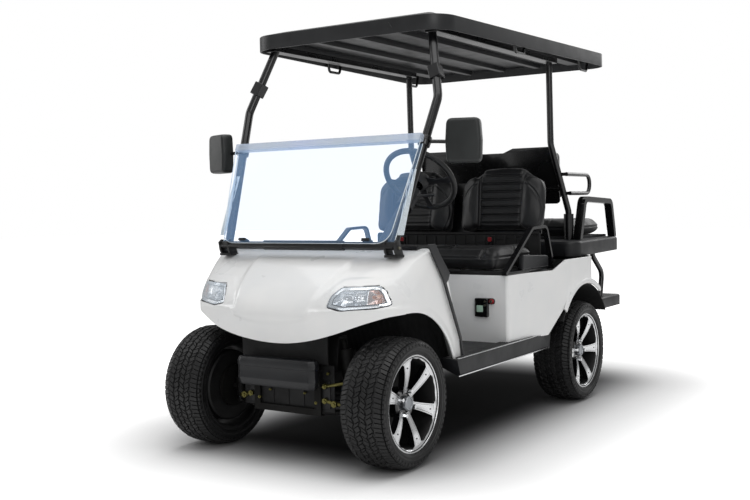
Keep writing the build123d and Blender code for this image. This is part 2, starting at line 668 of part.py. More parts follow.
shoulder_cut = side_shape(
    [
        (SEAT_BASE_FRONT_Y - 76, SEAT_BASE_TOP_Z), (STEP_LOW_Y, SEAT_BASE_TOP_Z),
        (STEP_HIGH_Y, REAR_BODY_TOP_Z + 1), (SEAT_BASE_FRONT_Y - 76, REAR_BODY_TOP_Z + 1),
    ],
    (-WIDE, WIDE),
)
body = outer - inner - rear_arch - arch_front - rear_low - shoulder_cut
top_sheet = extrude(Plane.XY.offset(SEAT_BASE_TOP_Z - 14) * body_plan(1), amount=6)
top_sheet = top_sheet & block((-WIDE, WIDE), (STEP_HIGH_Y - 54, WHEELBASE - 25), (600, 900))
nodes["rear_body"] = body + top_sheet
nodes["sills"] = nodes["sills"] - body

liner = Cylinder(REAR_ARCH_RADIUS - 1, 190) - Cylinder(REAR_ARCH_RADIUS - 6, 200)
liner = Pos(0, WHEELBASE, TYRE_RADIUS) * Rot(0, 90, 0) * liner
liner = Pos(REAR_FENDER_X - SKIN - 96, 0, 0) * liner
keep = block((300, WIDE), (WHEELBASE - 420, WHEELBASE + 420), (452, 700))
valance = block((-VALANCE_X, VALANCE_X), (RAIL_FRONT_Y + 2, RAIL_FRONT_Y + 8), (RAIL_TOP, 660))
valance = valance & cowl_solid(SKIN + SEAT_GAP)
nodes["wheel_liners"] = both_sides(liner & keep) + valance

RIM_X = 505.0
rim_z = (SEAT_BASE_TOP_Z, CUSHION_LOW_Z - SEAT_GAP)
seat_rim = block((-RIM_X, RIM_X), (CUSHION_FRONT_Y + 22, CUSHION_FRONT_Y + 82), rim_z)
rim_side = block((RIM_X - 50, RIM_X + 25), (CUSHION_FRONT_Y + 22, CUSHION_REAR_Y + 70), rim_z)
seat_rim = seat_rim + both_sides(rim_side)
nodes["seat_rim"] = seat_rim

meter = block((386, 456), (SEAT_BASE_FRONT_Y - 16, SEAT_BASE_FRONT_Y), (517, 607))
meter = meter + block((450, 488), (SEAT_BASE_FRONT_Y - 5, SEAT_BASE_FRONT_Y), (579, 607))
key = rod((474, SEAT_BASE_FRONT_Y - 30, 593), (474, SEAT_BASE_FRONT_Y - 4, 593), 11)
nodes["control_panel"] = meter + key

lamp = block((430, 520), (REAR_BODY_Y - 4, REAR_BODY_Y + 14), (650, 730))
nodes["tail_lamps"] = both_sides(lamp - nodes["rear_body"])

# ---------------------------------------------------------------- front seats
cushion = block((-CUSHION_X, CUSHION_X), (CUSHION_FRONT_Y, CUSHION_REAR_Y), (CUSHION_LOW_Z, CUSHION_TOP_Z))
cushion = fillet(cushion.edges().filter_by(Axis.Z), 40)
cushion = fillet(cushion.edges().group_by(Axis.Z)[-1], 30)
hinge_start = (250, CUSHION_FRONT_Y + 10, CUSHION_LOW_Z)
hinge_end = (310, CUSHION_FRONT_Y + 10, CUSHION_LOW_Z)
pocket_start = (hinge_start[0] - 6, hinge_start[1], CUSHION_LOW_Z)
pocket_end = (hinge_end[0] + 6, hinge_end[1], CUSHION_LOW_Z)
hinge_pocket = rod(pocket_start, pocket_end, HINGE_RADIUS + 0.5)
nodes["front_cushion"] = cushion - both_sides(hinge_pocket)
leaf_x = (hinge_start[0], hinge_end[0])
leaf_y = (hinge_start[1], CUSHION_FRONT_Y + 26)
hinge_leaf = block(leaf_x, leaf_y, (CUSHION_LOW_Z - 8, CUSHION_LOW_Z - SEAT_GAP))
nodes["seat_rim"] = nodes["seat_rim"] + both_sides(rod(hinge_start, hinge_end, HINGE_RADIUS) + hinge_leaf)


def seat_back():
    """One bucket backrest on its own axes: width X, thickness Y, height Z from 0."""
    half = SEAT_BACK_WIDTH / 2
    height = BACK_TOP_Z - BACK_LOW_Z
    slope = 66.0
    bend = height * 0.72
    shape = [(-half, 0), (-half, bend), (slope - half, height), (half - slope, height), (half, bend), (half, 0)]
    pad = front_shape(shape, (0, BACK_THICK), [26, 60, 70, 70, 60, 26])
    return fillet(pad.edges().group_by(Axis.Y)[0], 20)


raked = Pos(SEAT_BACK_MIDDLE_X, BACK_FRONT_Y, BACK_LOW_Z) * Rot(-BACK_RAKE, 0, 0)
back_left = raked * seat_back()
nodes["front_backrests"] = both_sides(back_left)

shell_half = SEAT_BACK_MIDDLE_X + SEAT_BACK_WIDTH / 2 - 40
shell_z = (6, BACK_TOP_Z - BACK_LOW_Z - 60)
shell_plate = block((-shell_half, shell_half), (BACK_THICK + SEAT_GAP, BACK_THICK + 10), shell_z)
shell_plate = Pos(0, BACK_FRONT_Y, BACK_LOW_Z) * Rot(-BACK_RAKE, 0, 0) * shell_plate
POST_X = 330.0
post_top = (POST_X, BACK_FRONT_Y + BACK_THICK + 64, BACK_TOP_Z - 90)
post_knee = (POST_X, BACK_FRONT_Y + BACK_THICK + 34, BACK_LOW_Z + 60)
post_foot = (POST_X, BACK_FRONT_Y + BACK_THICK + 24, REAR_BODY_TOP_Z + 30)
post_end = (POST_X, post_foot[1], SEAT_BASE_TOP_Z - 4)
posts = bent_tube([post_top, post_knee, post_foot, post_end], 15, 40)
plate_y = (BACK_FRONT_Y + 78, BACK_FRONT_Y + 168)
foot_plate = block((POST_X - 40, POST_X + 40), plate_y, (SEAT_BASE_TOP_Z - 8, SEAT_BASE_TOP_Z - 2))
nodes["seat_back_frame"] = shell_plate + both_sides(posts + foot_plate)

LOOP_X = 546.0
LOOP_REAR_Y = CUSHION_REAR_Y + 68
LOOP_TOP_Z = 936.0
loop_points = [
    (LOOP_X, CUSHION_FRONT_Y, 722), (LOOP_X, CUSHION_FRONT_Y + 307, LOOP_TOP_Z - 5),
    (LOOP_X, LOOP_REAR_Y - 63, LOOP_TOP_Z),
    (LOOP_X, LOOP_REAR_Y, 780), (LOOP_X, LOOP_REAR_Y, 724),
]
loop = bent_strap(loop_points, 26, 14, 40)
foot_y = (CUSHION_FRONT_Y + 32, LOOP_REAR_Y + 2)
loop_foot = block((LOOP_X - 13, LOOP_X + 8), foot_y, (SEAT_BASE_TOP_Z - 6, SEAT_BASE_TOP_Z + 14))
nodes["hip_restraints"] = both_sides(loop + loop_foot - body)

# ---------------------------------------------------------------- rear deck and rear seat
deck_points = [
    (-DECK_REAR_X, DECK_REAR_Y), (-DECK_FRONT_X, DECK_FRONT_Y),
    (DECK_FRONT_X, DECK_FRONT_Y), (DECK_REAR_X, DECK_REAR_Y),
]
deck_low = DECK_TOP_Z - DECK_THICK
deck = plan_shape(deck_points, (deck_low, DECK_TOP_Z), [50, 70, 70, 50])
deck_inner = [
    (-DECK_REAR_X + 12, DECK_REAR_Y - 10), (-DECK_FRONT_X + 14, DECK_FRONT_Y + 10),
    (DECK_FRONT_X - 14, DECK_FRONT_Y + 10), (DECK_REAR_X - 12, DECK_REAR_Y - 10),
]
deck = deck - plan_shape(deck_inner, (deck_low - 1, DECK_TOP_Z - 8), [42, 62, 62, 42])
nodes["rear_deck"] = deck
deck_under = DECK_TOP_Z - 8
BEARER_X = 420.0
front_bearer_y = (WHEELBASE + 35, WHEELBASE + 75)
rear_bearer_y = (RAIL_REAR_Y - 60, RAIL_REAR_Y - 20)
bearer = block((-BEARER_X, BEARER_X), rear_bearer_y, (deck_under - 40, deck_under))
bearer = bearer + block((-BEARER_X, BEARER_X), front_bearer_y, (REAR_BODY_TOP_Z, deck_under))
uprights = block((RAIL_X - 20, RAIL_X + 20), rear_bearer_y, (REAR_RAIL_TOP, deck_under))
uprights = uprights + block((RAIL_X - 20, RAIL_X + 20), front_bearer_y, (REAR_RAIL_TOP, deck_under))
nodes["deck_bearers"] = bearer + both_sides(uprights)

board_low = DECK_TOP_Z + SEAT_GAP
rear_pad = block(
    (-REAR_CUSHION_X, REAR_CUSHION_X),
    (REAR_CUSHION_FRONT_Y, REAR_CUSHION_REAR_Y),
    (board_low + REAR_BOARD_THICK + SEAT_GAP, board_low + REAR_CUSHION_THICK),
)
rear_pad = fillet(rear_pad.edges().filter_by(Axis.Z), 40)
rear_pad = fillet(rear_pad.edges().group_by(Axis.Z)[-1], 26)
nodes["rear_cushion"] = rear_pad
HINGE_Y = DECK_REAR_Y + 14
HINGE_Z = DECK_TOP_Z + 2
board_y = (REAR_CUSHION_FRONT_Y, REAR_CUSHION_REAR_Y)
board = block((-REAR_CUSHION_X, REAR_CUSHION_X), board_y, (board_low, board_low + REAR_BOARD_THICK))
leaf = block((280, 330), (REAR_CUSHION_REAR_Y - 2, HINGE_Y), (board_low + 1, board_low + 9))
knuckle_tube = rod((285, HINGE_Y, HINGE_Z + 3), (325, HINGE_Y, HINGE_Z + 3), 7)
nodes["rear_seat_board"] = board + both_sides(leaf + knuckle_tube)

strut_foot = (REAR_POST_X, REAR_POST_Y, DECK_TOP_Z)
strut_low = (REAR_POST_X, REAR_POST_Y, 1000)
strut_knee = (REAR_POST_X - 14, REAR_POST_Y - 208, 1372)
strut_top = (REAR_POST_X - 14, REAR_POST_Y - 220, ROOF_LIP_Z + 14)
strut = bent_tube([strut_foot, strut_low, strut_knee, strut_top], STRUT_RADIUS, 70)
sleeve = rod(strut_foot, (REAR_POST_X, REAR_POST_Y, 990), 27)
nodes["rear_struts"] = both_sides(strut + sleeve)

rear_rake = degrees(atan2(strut_low[1] - strut_knee[1], strut_knee[2] - strut_low[2])) * 0.4
panel_half = REAR_BACK_X + 2
panel_height = 318.0
panel_points = [
    (-panel_half, 0), (-panel_half, panel_height), (-170, panel_height), (-110, panel_height - 24),
    (110, panel_height - 24), (170, panel_height), (panel_half, panel_height), (panel_half, 0),
]
panel = front_shape(panel_points, (-10, 0), [20, 30, 20, 20, 20, 20, 30, 20])
rear_place = Pos(0, REAR_POST_Y - 52, REAR_BACK_LOW_Z - 6) * Rot(rear_rake, 0, 0)
nodes["rear_back_panel"] = (rear_place * panel) - nodes["rear_struts"]
rear_back_height = REAR_BACK_TOP_Z - REAR_BACK_LOW_Z
rear_back = block((12, REAR_BACK_X - 4), (SEAT_GAP, REAR_BACK_THICK), (6, rear_back_height))
rear_back = fillet(rear_back.edges().filter_by(Axis.Y), 24)
rear_back = fillet(rear_back.edges().group_by(Axis.Y)[-1], 18)
nodes["rear_backrests"] = both_sides(rear_place * rear_back)
tie_y = REAR_POST_Y - 89
tie_bar = rod((-REAR_POST_X + 10, tie_y, 1130), (REAR_POST_X - 10, tie_y, 1130), 12)
nodes["rear_back_panel"] = nodes["rear_back_panel"] + (tie_bar - nodes["rear_struts"])

grab_x = 488.0
grab_front = REAR_POST_Y - 116
grab_rear = REAR_POST_Y + 225
grab_points = [
    (grab_x, grab_front, 1208), (grab_x, grab_rear, 1208),
    (grab_x, grab_rear, 1104), (grab_x, grab_front + 48, 1104),
]
grab = bent_tube(grab_points, 11, 50)
for tip_y, tip_z in ((grab_front + 4, 1208), (grab_front + 58, 1104)):
    grab = grab + (block((440, grab_x), (tip_y - 9, tip_y + 9), (tip_z - 9, tip_z + 9)) - strut)
nodes["grab_loops"] = both_sides(grab)

ARM_X = 508.0
arm_points = [
    (ARM_X, DECK_REAR_Y - 592, DECK_TOP_Z - 4), (ARM_X, DECK_REAR_Y - 516, 1072),
    (ARM_X, DECK_REAR_Y - 106, 1056), (ARM_X - 4, DECK_REAR_Y - 36, DECK_TOP_Z - 4),
]
above_deck = block((-WIDE, WIDE), (DECK_FRONT_Y, DECK_REAR_Y + 138), (DECK_TOP_Z, 1300))
nodes["armrests"] = both_sides(bent_strap(arm_points, 44, 30, 46) & above_deck)

LEG_X = 440.0
leg_y = RAIL_REAR_Y - 28
tube_top = (LEG_X, leg_y, deck_under - SEAT_GAP)
tube_points = [tube_top, (LEG_X, leg_y, 740), (LEG_X, leg_y + 158, 628), (LEG_X, leg_y + 126, FOOTREST_TOP_Z)]
legs = bent_tube(tube_points, 15, 60)
footrest_y = (FOOTREST_FRONT_Y, FOOTREST_REAR_Y)
footrest = block((-FOOTREST_X, FOOTREST_X), footrest_y, (FOOTREST_TOP_Z - FOOTREST_HEIGHT, FOOTREST_TOP_Z))
footrest = fillet(footrest.edges().filter_by(Axis.Z), 22)
cut_y = (FOOTREST_FRONT_Y + 8, FOOTREST_REAR_Y - 8)
foot_cut = block((8 - FOOTREST_X, FOOTREST_X - 8), cut_y, (0, FOOTREST_TOP_Z - 7))
nodes["rear_footrest"] = footrest - foot_cut
nodes["footrest_tubes"] = both_sides(legs) - footrest

# ---------------------------------------------------------------- roof
def roof_plan(inset):
    front = ROOF_FRONT_X - inset
    rear = ROOF_REAR_X - inset
    points = [
        (-front, ROOF_FRONT_Y + inset), (front, ROOF_FRONT_Y + inset),
        (rear, ROOF_REAR_Y - inset), (-rear, ROOF_REAR_Y - inset),
    ]
    bend = [ROOF_CORNER_FRONT - inset] * 2 + [ROOF_CORNER_REAR - inset] * 2
    return outline_face(points, bend)


lip_top = ROOF_LIP_Z + ROOF_LIP_HEIGHT
roof_low = extrude(Plane.XY.offset(ROOF_LIP_Z) * roof_plan(0), amount=ROOF_LIP_HEIGHT)
crown_low = Plane.XY.offset(lip_top) * roof_plan(4)
crown_high = Plane.XY.offset(lip_top + ROOF_CROWN) * roof_plan(110)
crown = loft([crown_low, crown_high])
hollow = extrude(Plane.XY.offset(ROOF_LIP_Z - 1) * roof_plan(ROOF_WALL), amount=ROOF_LIP_HEIGHT - 20)
roof = roof_low + crown - hollow
RIBS = (
    # middle x, half width
    (-440.0, 34.0),
    (-220.0, 16.0),
    (0.0, 16.0),
    (220.0, 16.0),
    (440.0, 34.0),
)
for rib_x, rib_half in RIBS:
    rib_y = (ROOF_FRONT_Y + 60, ROOF_REAR_Y - 60)
    rib = block((rib_x - rib_half, rib_x + rib_half), rib_y, (ROOF_LIP_Z + 24, lip_top - 20))
    roof = roof + rib
nodes["roof"] = roof

rail_z = ROOF_LIP_Z + 24
roof_under = ROOF_LIP_Z + ROOF_LIP_HEIGHT - 21
pillar = bent_tube(list(PILLAR_POINTS), PILLAR_RADIUS, 90)
clip = Pos(*between(PILLAR_POINTS[1], PILLAR_POINTS[2], 0.36)) * Rot(-18, -22, 0) * Box(52, 48, 62)
nodes["front_pillars"] = both_sides(pillar + clip) & block((-WIDE, WIDE), (-200, 900), (0, rail_z))
strut_room = block((-WIDE, WIDE), (REAR_POST_Y - 380, REAR_POST_Y + 120), (0, rail_z))
nodes["rear_struts"] = nodes["rear_struts"] & strut_room
header = both_sides(block((410, 470), (392, REAR_POST_Y - 180), (rail_z - 26, rail_z)))
nodes["roof_rails"] = header - nodes["front_pillars"] - nodes["rear_struts"]

HANDLES = (
    # y of the middle
    ROOF_FRONT_Y + 730,
    REAR_POST_Y,
)
handles = Part()
for handle_y in HANDLES:
    handle_points = [
        (545, handle_y - 66, roof_under), (545, handle_y - 46, ROOF_LIP_Z - 26),
        (545, handle_y + 46, ROOF_LIP_Z - 26), (545, handle_y + 66, roof_under),
    ]
    handles = handles + [both_sides(bent_tube(handle_points, 7, 16))]
nodes["roof_handles"] = handles - roof

# ---------------------------------------------------------------- windshield
pillar_foot = Vector(*PILLAR_POINTS[0])
pillar_knee = Vector(*PILLAR_POINTS[1])
lean = (pillar_knee.Y - pillar_foot.Y) / (pillar_knee.Z - pillar_foot.Z)
RAKE = degrees(atan2(lean, 1))
pane_face_y = pillar_foot.Y + lean * (PANE_LOW_Z - pillar_foot.Z)
pane_face_y = pane_face_y - (PILLAR_RADIUS + SEAT_GAP) / cos(radians(RAKE))
pane_height = (PANE_TOP_Z - PANE_LOW_Z) / cos(radians(RAKE))
pane_place = Pos(0, pane_face_y, PANE_LOW_Z) * Rot(-RAKE, 0, 0)


def pane(low, high, corners):
    """A sheet whose rear face lies on the pane plane; low and high are (height, half width)."""
    points = [(-low[1], low[0]), (-high[1], high[0]), (high[1], high[0]), (low[1], low[0])]
    return front_shape(points, (-PANE_THICK, 0), corners)


lower_pane = pane((0, PANE_LOW_X), (pane_height, PANE_TOP_X), [8, 8, 8, 8])
nodes["windshield_lower"] = pane_place * lower_pane
folded = pane((-8, PANE_LOW_X - 14), (pane_height, PANE_TOP_X), [70, 8, 8, 70])
nodes["windshield_upper"] = pane_place * Pos(0, -FOLD_GAP, 0) * folded
channel_z = (pane_height - 12, pane_height + 22)
channel = block((-PANE_TOP_X, PANE_TOP_X), (-FOLD_GAP - PANE_THICK - 5, 4), channel_z)
channel = (pane_place * channel) - nodes["windshield_lower"] - nodes["windshield_upper"]
channel = channel - nodes["front_pillars"]
nodes["windshield_hinge"] = channel

base_bar = front_shape(
    [(-PANE_LOW_X, -24), (-PANE_LOW_X, 10), (PANE_LOW_X, 10), (PANE_LOW_X, -24)], (-16, 12)
)
base_bar = base_bar + front_shape([(-215, -30), (-215, 14), (215, 14), (215, -30)], (-20, 12))
foot = block((412, 478), (22, 84), (HOOD_FOOT_Z - 40, 892))
sheet_feet = both_sides(foot)
base = (pane_place * base_bar) + sheet_feet - nodes["windshield_lower"] - nodes["windshield_upper"]
nodes["windshield_base"] = base - nodes["front_pillars"] - cowl_solid(-SEAT_GAP)

# ---------------------------------------------------------------- mirrors
MIRROR_REACH = 742.0
MIRROR_Z = 1318.0
MIRROR_Y = 262.0


def mirror_housing():
    """The left mirror's housing, its outermost point at MIRROR_REACH."""
    pod = Box(152, 58, 186)
    pod = fillet(pod.edges().filter_by(Axis.Y), 30)
    pod = fillet(pod.edges().group_by(Axis.Y)[0], 16)
    pod = Rot(0, 0, 20) * pod
    shift = MIRROR_REACH - pod.bounding_box().max.X
    return Pos(shift, MIRROR_Y, MIRROR_Z) * pod


pod_left = mirror_housing()
stem_start = between(PILLAR_POINTS[0], PILLAR_POINTS[1], 0.70)
stem = rod(stem_start, (MIRROR_REACH - 90, MIRROR_Y + 8, MIRROR_Z - 6), 8)
clamp_low = between(PILLAR_POINTS[0], PILLAR_POINTS[1], 0.668)
clamp_high = between(PILLAR_POINTS[0], PILLAR_POINTS[1], 0.732)
clamp = rod(clamp_low, clamp_high, PILLAR_RADIUS + 8)
mirror_left = pod_left + (stem + clamp - bent_tube(list(PILLAR_POINTS), PILLAR_RADIUS + SEAT_GAP, 90))
ahead_of_pane = pane_place * block((-WIDE, WIDE), (-90, 3), (-50, pane_height + 90))
nodes["mirrors"] = both_sides(mirror_left) - ahead_of_pane - nodes["windshield_hinge"]

# ---------------------------------------------------------------- write
for node_name, shape in nodes.items():
    export_step(Part() + (Pos(0, -MIDDLE_Y, 0) * shape), "parts/" + node_name + ".step")
print(len(nodes), "pieces")
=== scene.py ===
import bpy
import bmesh
from math import atan2, cos, exp, hypot, pi, radians, sin, sqrt, tau
from mathutils import Matrix, Vector
import json

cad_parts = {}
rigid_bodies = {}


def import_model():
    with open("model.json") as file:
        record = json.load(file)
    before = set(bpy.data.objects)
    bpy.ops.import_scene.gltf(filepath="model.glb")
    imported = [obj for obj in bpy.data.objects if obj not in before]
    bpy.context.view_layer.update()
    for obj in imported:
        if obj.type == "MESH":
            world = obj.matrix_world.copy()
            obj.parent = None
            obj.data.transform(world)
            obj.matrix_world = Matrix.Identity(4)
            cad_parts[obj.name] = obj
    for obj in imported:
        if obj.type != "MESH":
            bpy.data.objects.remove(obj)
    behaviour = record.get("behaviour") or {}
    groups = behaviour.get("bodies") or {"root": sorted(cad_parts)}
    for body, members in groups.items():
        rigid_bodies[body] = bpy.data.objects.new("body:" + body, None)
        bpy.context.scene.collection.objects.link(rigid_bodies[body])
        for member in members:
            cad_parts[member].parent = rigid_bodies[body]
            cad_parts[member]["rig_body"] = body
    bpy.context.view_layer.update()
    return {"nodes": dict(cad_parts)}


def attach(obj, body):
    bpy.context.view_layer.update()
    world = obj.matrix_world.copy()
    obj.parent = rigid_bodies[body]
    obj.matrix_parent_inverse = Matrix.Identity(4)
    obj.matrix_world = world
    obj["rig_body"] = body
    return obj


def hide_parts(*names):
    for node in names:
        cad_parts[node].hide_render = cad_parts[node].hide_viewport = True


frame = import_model()
scene = bpy.context.scene
middleY = 1183.5  # the object's middle, measured rearwards from the front axle, in mm


def at(x, y, z):  # mm from the front axle on the ground, to metres in the shared frame
    return Vector((x, y - middleY, z)) / 1000


def smoothStep(low, high, value):
    t = min(1.0, max(0.0, (value - low) / (high - low)))
    return t * t * (3 - 2 * t)


# materials: each starts from what the real one is and how its surface was made
def linear(code):
    parts = [int(code[i:i + 2], 16) / 255 for i in (0, 2, 4)]
    return [p / 12.92 if p <= 0.04045 else ((p + 0.055) / 1.055) ** 2.4 for p in parts] + [1.0]


def addNode(tree, kind, settings=None, inputs=None, links=None):
    node = tree.nodes.new(kind)
    for name, value in (settings or {}).items():
        setattr(node, name, value)
    for name, value in (inputs or {}).items():
        node.inputs[name].default_value = value
    for name, source in (links or {}).items():
        tree.links.new(source, node.inputs[name])
    return node


def ramp(tree, source, stops):
    node = addNode(tree, "ShaderNodeValToRGB", links={"Fac": source})
    elements = node.color_ramp.elements
    for i, (place, color) in enumerate(stops):
        element = elements[i] if i < 2 else elements.new(place)
        element.position = place
        element.color = color
    return node.outputs["Color"]


def spread(tree, source, low, high, start=0.0, end=1.0, way="LINEAR"):  # start..end becomes low..high
    ends = {"From Min": start, "From Max": end, "To Min": low, "To Max": high}
    made = addNode(tree, "ShaderNodeMapRange", {"interpolation_type": way}, ends, {"Value": source})
    return made.outputs["Result"]


def mathNode(tree, operation, *sources, inputs=None, kind="ShaderNodeMath"):
    return addNode(tree, kind, {"operation": operation}, inputs, dict(enumerate(sources))).outputs[0]


def newMaterial(name, shader):
    material = bpy.data.materials.new(name)
    material.use_nodes = True
    tree = material.node_tree
    tree.nodes.clear()
    bsdf = addNode(tree, "ShaderNodeBsdfPrincipled", inputs=shader)
    addNode(tree, "ShaderNodeOutputMaterial", links={"Surface": bsdf.outputs["BSDF"]})
    place = addNode(tree, "ShaderNodeTexCoord").outputs["Object"]
    return material, tree, bsdf, place


def cloudOf(tree, place, scale, detail):
    made = addNode(tree, "ShaderNodeTexNoise", None, {"Scale": scale, "Detail": detail}, {"Vector": place})
    return made.outputs["Fac"]


def dyed(tree, bsdf, cloud, low, high, roughness=None):  # two close colours, and roughness that follows them
    color = ramp(tree, cloud, [(0.3, linear(low)), (0.7, linear(high))])
    tree.links.new(color, bsdf.inputs["Base Color"])
    if roughness:
        tree.links.new(spread(tree, cloud, *roughness, 0.3, 0.7), bsdf.inputs["Roughness"])


def bumped(tree, bsdf, height, depth):  # depth in mm
    size = {"Strength": 1.0, "Distance": depth / 1000}
    bump = addNode(tree, "ShaderNodeBump", None, size, {"Height": height})
    tree.links.new(bump.outputs["Normal"], bsdf.inputs["Normal"])


def grained(name, low, high, grain, depth, shader, *roughness):
    # moulded plastic or vinyl: rounded cells of that size in mm, with finer pits between them
    material, tree, bsdf, place = newMaterial(name, shader)
    dyed(tree, bsdf, cloudOf(tree, place, 1000 / 90, 3.0), low, high, roughness)
    size = {"Scale": 1000 / grain, "Smoothness": 0.6}
    cells = addNode(tree, "ShaderNodeTexVoronoi", {"feature": "SMOOTH_F1"}, size, {"Vector": place})
    pits = cloudOf(tree, place, 2600 / grain, 2.0)
    share = {0: pits, 2: cells.outputs["Distance"]}
    both = addNode(tree, "ShaderNodeMath", {"operation": "MULTIPLY_ADD"}, {1: 0.35}, share)
    bumped(tree, bsdf, both.outputs["Value"], depth)
    return material


def coated(name, low, high, shader, roughLow, roughHigh, ripple=2.2, depth=0.012):
    # sprayed or powder coated: a faint orange peel of that size in mm
    material, tree, bsdf, place = newMaterial(name, shader)
    dyed(tree, bsdf, cloudOf(tree, place, 1000 / 140, 3.0), low, high, (roughLow, roughHigh))
    bumped(tree, bsdf, cloudOf(tree, place, 1000 / ripple, 1.0), depth)
    return material


def brushed(name, low, high, shader, stretch, roughLow, roughHigh, depth=0.01):
    # worked in one direction: fine lines, drawn about 1 mm apart so that they show
    material, tree, bsdf, place = newMaterial(name, shader)
    long = addNode(tree, "ShaderNodeMapping", inputs={"Scale": stretch}, links={"Vector": place})
    lines = cloudOf(tree, long.outputs["Vector"], 1000.0, 2.0)
    dyed(tree, bsdf, lines, low, high, (roughLow, roughHigh))
    bumped(tree, bsdf, lines, depth)
    return material


def clearSheet(name, tint, alpha, edge, shader):  # a clear moulding shows more of itself at a glancing angle
    material, tree, bsdf, place = newMaterial(name, shader)
    dyed(tree, bsdf, cloudOf(tree, place, 1000 / 300, 3.0), tint, tint[:4] + "F8")
    rim = addNode(tree, "ShaderNodeLayerWeight", inputs={"Blend": 0.35})
    tree.links.new(spread(tree, rim.outputs["Facing"], alpha, edge), bsdf.inputs["Alpha"])
    return material


def ribbedRubber(name, ribs=28.274, deep=1.2):  # ribs so many mm apart and so deep, running along the floor
    material, tree, bsdf, place = newMaterial(name, {})
    dyed(tree, bsdf, cloudOf(tree, place, 1000 / 60, 3.0), "151617", "1E1F20", (0.55, 0.75))
    bands = {"wave_type": "BANDS", "bands_direction": "X", "wave_profile": "SIN"}
    wave = addNode(tree, "ShaderNodeTexWave", bands, {"Scale": tau * 50 / ribs}, {"Vector": place})
    bumped(tree, bsdf, wave.outputs["Fac"], deep)
    return material


metal = {"Metallic": 1.0}
# painted ABS, white gloss: clean, with soft long highlights
whiteGloss = {"Roughness": 0.3, "Coat Weight": 0.5, "Coat Roughness": 0.06}
bodyWhite = coated("paintedAbsWhite", "EDEEEE", "F2F2F1", whiteGloss, 0.26, 0.36, 5.0, 0.010)
# moulded bumper skin: charcoal with a fine grain, a little shinier than the trims
plain = {"Specular IOR Level": 0.5}
bumperPlastic = grained("mouldedTpoCharcoal", "121316", "1A1B1E", 1.6, 0.05, plain, 0.34, 0.46)
# plated and yellow passivated steel: a dull olive gold
yellowZinc = brushed("yellowZincPlate", "5E5A30", "868051", metal, (1, 0.05, 1), 0.32, 0.5)
# powder coated steel tube, black gloss: sharp thin highlights along the bends
powderGloss = {"Coat Weight": 0.35, "Coat Roughness": 0.12}
tubeBlack = coated("powderCoatBlack", "08080A", "0D0D0F", powderGloss, 0.24, 0.34)
# chassis paint, satin black: dull, with road dust
chassisBlack = coated("chassisPaintBlack", "050506", "0A0A0B", {}, 0.45, 0.7, 3.0, 0.05)
# moulded polypropylene with a fine grain: charcoal, satin
satin = {"Specular IOR Level": 0.45}
grainedPlastic = grained("mouldedPpCharcoal", "111215", "191A1D", 1.6, 0.05, satin, 0.42, 0.55)
# vacuum formed roof skin: a little lighter, smoother
roofPlastic = grained("formedAbsCharcoal", "131416", "1A1B1D", 1.3, 0.03, {}, 0.36, 0.48)
# mirror housings: fine matt grain, a faint green cast
housingPlastic = grained("mouldedAbsBlack", "121515", "1A1E1E", 1.1, 0.03, {}, 0.38, 0.5)
# inner liners: dull and nearly black
linerPlastic = grained("mouldedPeBlack", "060607", "0A0A0B", 3.0, 0.08, {}, 0.6, 0.8)
# gloss black moulded panel: shows the sky as a soft band
panelCoat = {"Coat Weight": 0.4, "Coat Roughness": 0.08}
panelGloss = coated("mouldedAbsGlossBlack", "070708", "0B0B0C", panelCoat, 0.2, 0.3)
# marine vinyl over foam: leather grain, soft sheen on the crowns
vinylSheen = {"Sheen Weight": 0.1, "Sheen Roughness": 0.45}
seatVinyl = grained("marineVinylBlack", "060709", "0B0C0F", 1.5, 0.06, vinylSheen, 0.38, 0.52)
# tyre compound: matt with a brown-grey bloom
tyreRubber = grained("tyreRubber", "070708", "0D0D0E", 2.4, 0.05, plain, 0.42, 0.62)
# bare iron castings and hubs: rough and dark
castIron = grained("castIronDark", "0A0A0A", "12110F", 2.0, 0.12, {"Metallic": 0.5}, 0.55, 0.75)
# bright plated steel: a warm grey shine drawn out along the part
zincSteel = brushed("zincPlatedSteel", "8E8B7A", "B4B1A2", metal, (1, 0.05, 1), 0.3, 0.5)
# turned faces of the rims: a clean mirror-like silver
machinedAlloy = brushed("machinedAluminium", "D8D9DB", "F2F3F4", metal, (0.4, 0.4, 0.4), 0.14, 0.26, 0.004)
# enamelled sides of the spokes: deep, wet black
wetGloss = {"Coat Weight": 0.8, "Coat Roughness": 0.04}
rimBlack = coated("glossEnamelBlack", "08080A", "0D0D0F", wetGloss, 0.16, 0.22)
# cast hub caps: flat mid grey metal
capGrey = brushed("castAluminiumGrey", "8D9094", "A9ACB0", metal, (1, 1, 1), 0.3, 0.42)
# battery cases: plain dull plastic
batteryCase = grained("mouldedPpBattery", "17181B", "222327", 3.0, 0.05, {}, 0.5, 0.65)
# foamed grip of the steering wheel: soft and matt
softGrip = grained("foamGripBlack", "0F1011", "181819", 1.2, 0.05, {}, 0.45, 0.6)
# woven nylon belt: dull, with fine lines along it
webbing = brushed("nylonWebbingBlack", "131314", "1E1E20", {"Sheen Weight": 0.2}, (1, 1, 0.3), 0.6, 0.8, 0.1)
# moulded red of the belt button and the key's mark
buckleRed = coated("mouldedAbsRed", "8E1018", "A3141E", {}, 0.3, 0.4)
# tail lamp lens: deep red gloss
tailRed = coated("acrylicRed", "7E0E12", "9A1216", {"Coat Weight": 0.6, "Coat Roughness": 0.05}, 0.16, 0.24)
# sewing thread, partly a painted highlight: a thin dark grey line in the vinyl that also stands for the
# highlight along the bench's bolster edges
threadAndHighlight = grained("threadGreyWithPaintedHighlight", "3A3C40", "46484C", 0.8, 0.05, {}, 0.55, 0.7)
# vinyl piping round the backrests: a light grey line
pipingGrey = grained("vinylPipingGrey", "5E6165", "707377", 1.2, 0.03, {}, 0.4, 0.5)
# vacuum metalled bowls: bright silver
chrome = coated("vacuumMetalledReflector", "E9EDF2", "F6F8FA", metal, 0.07, 0.14)
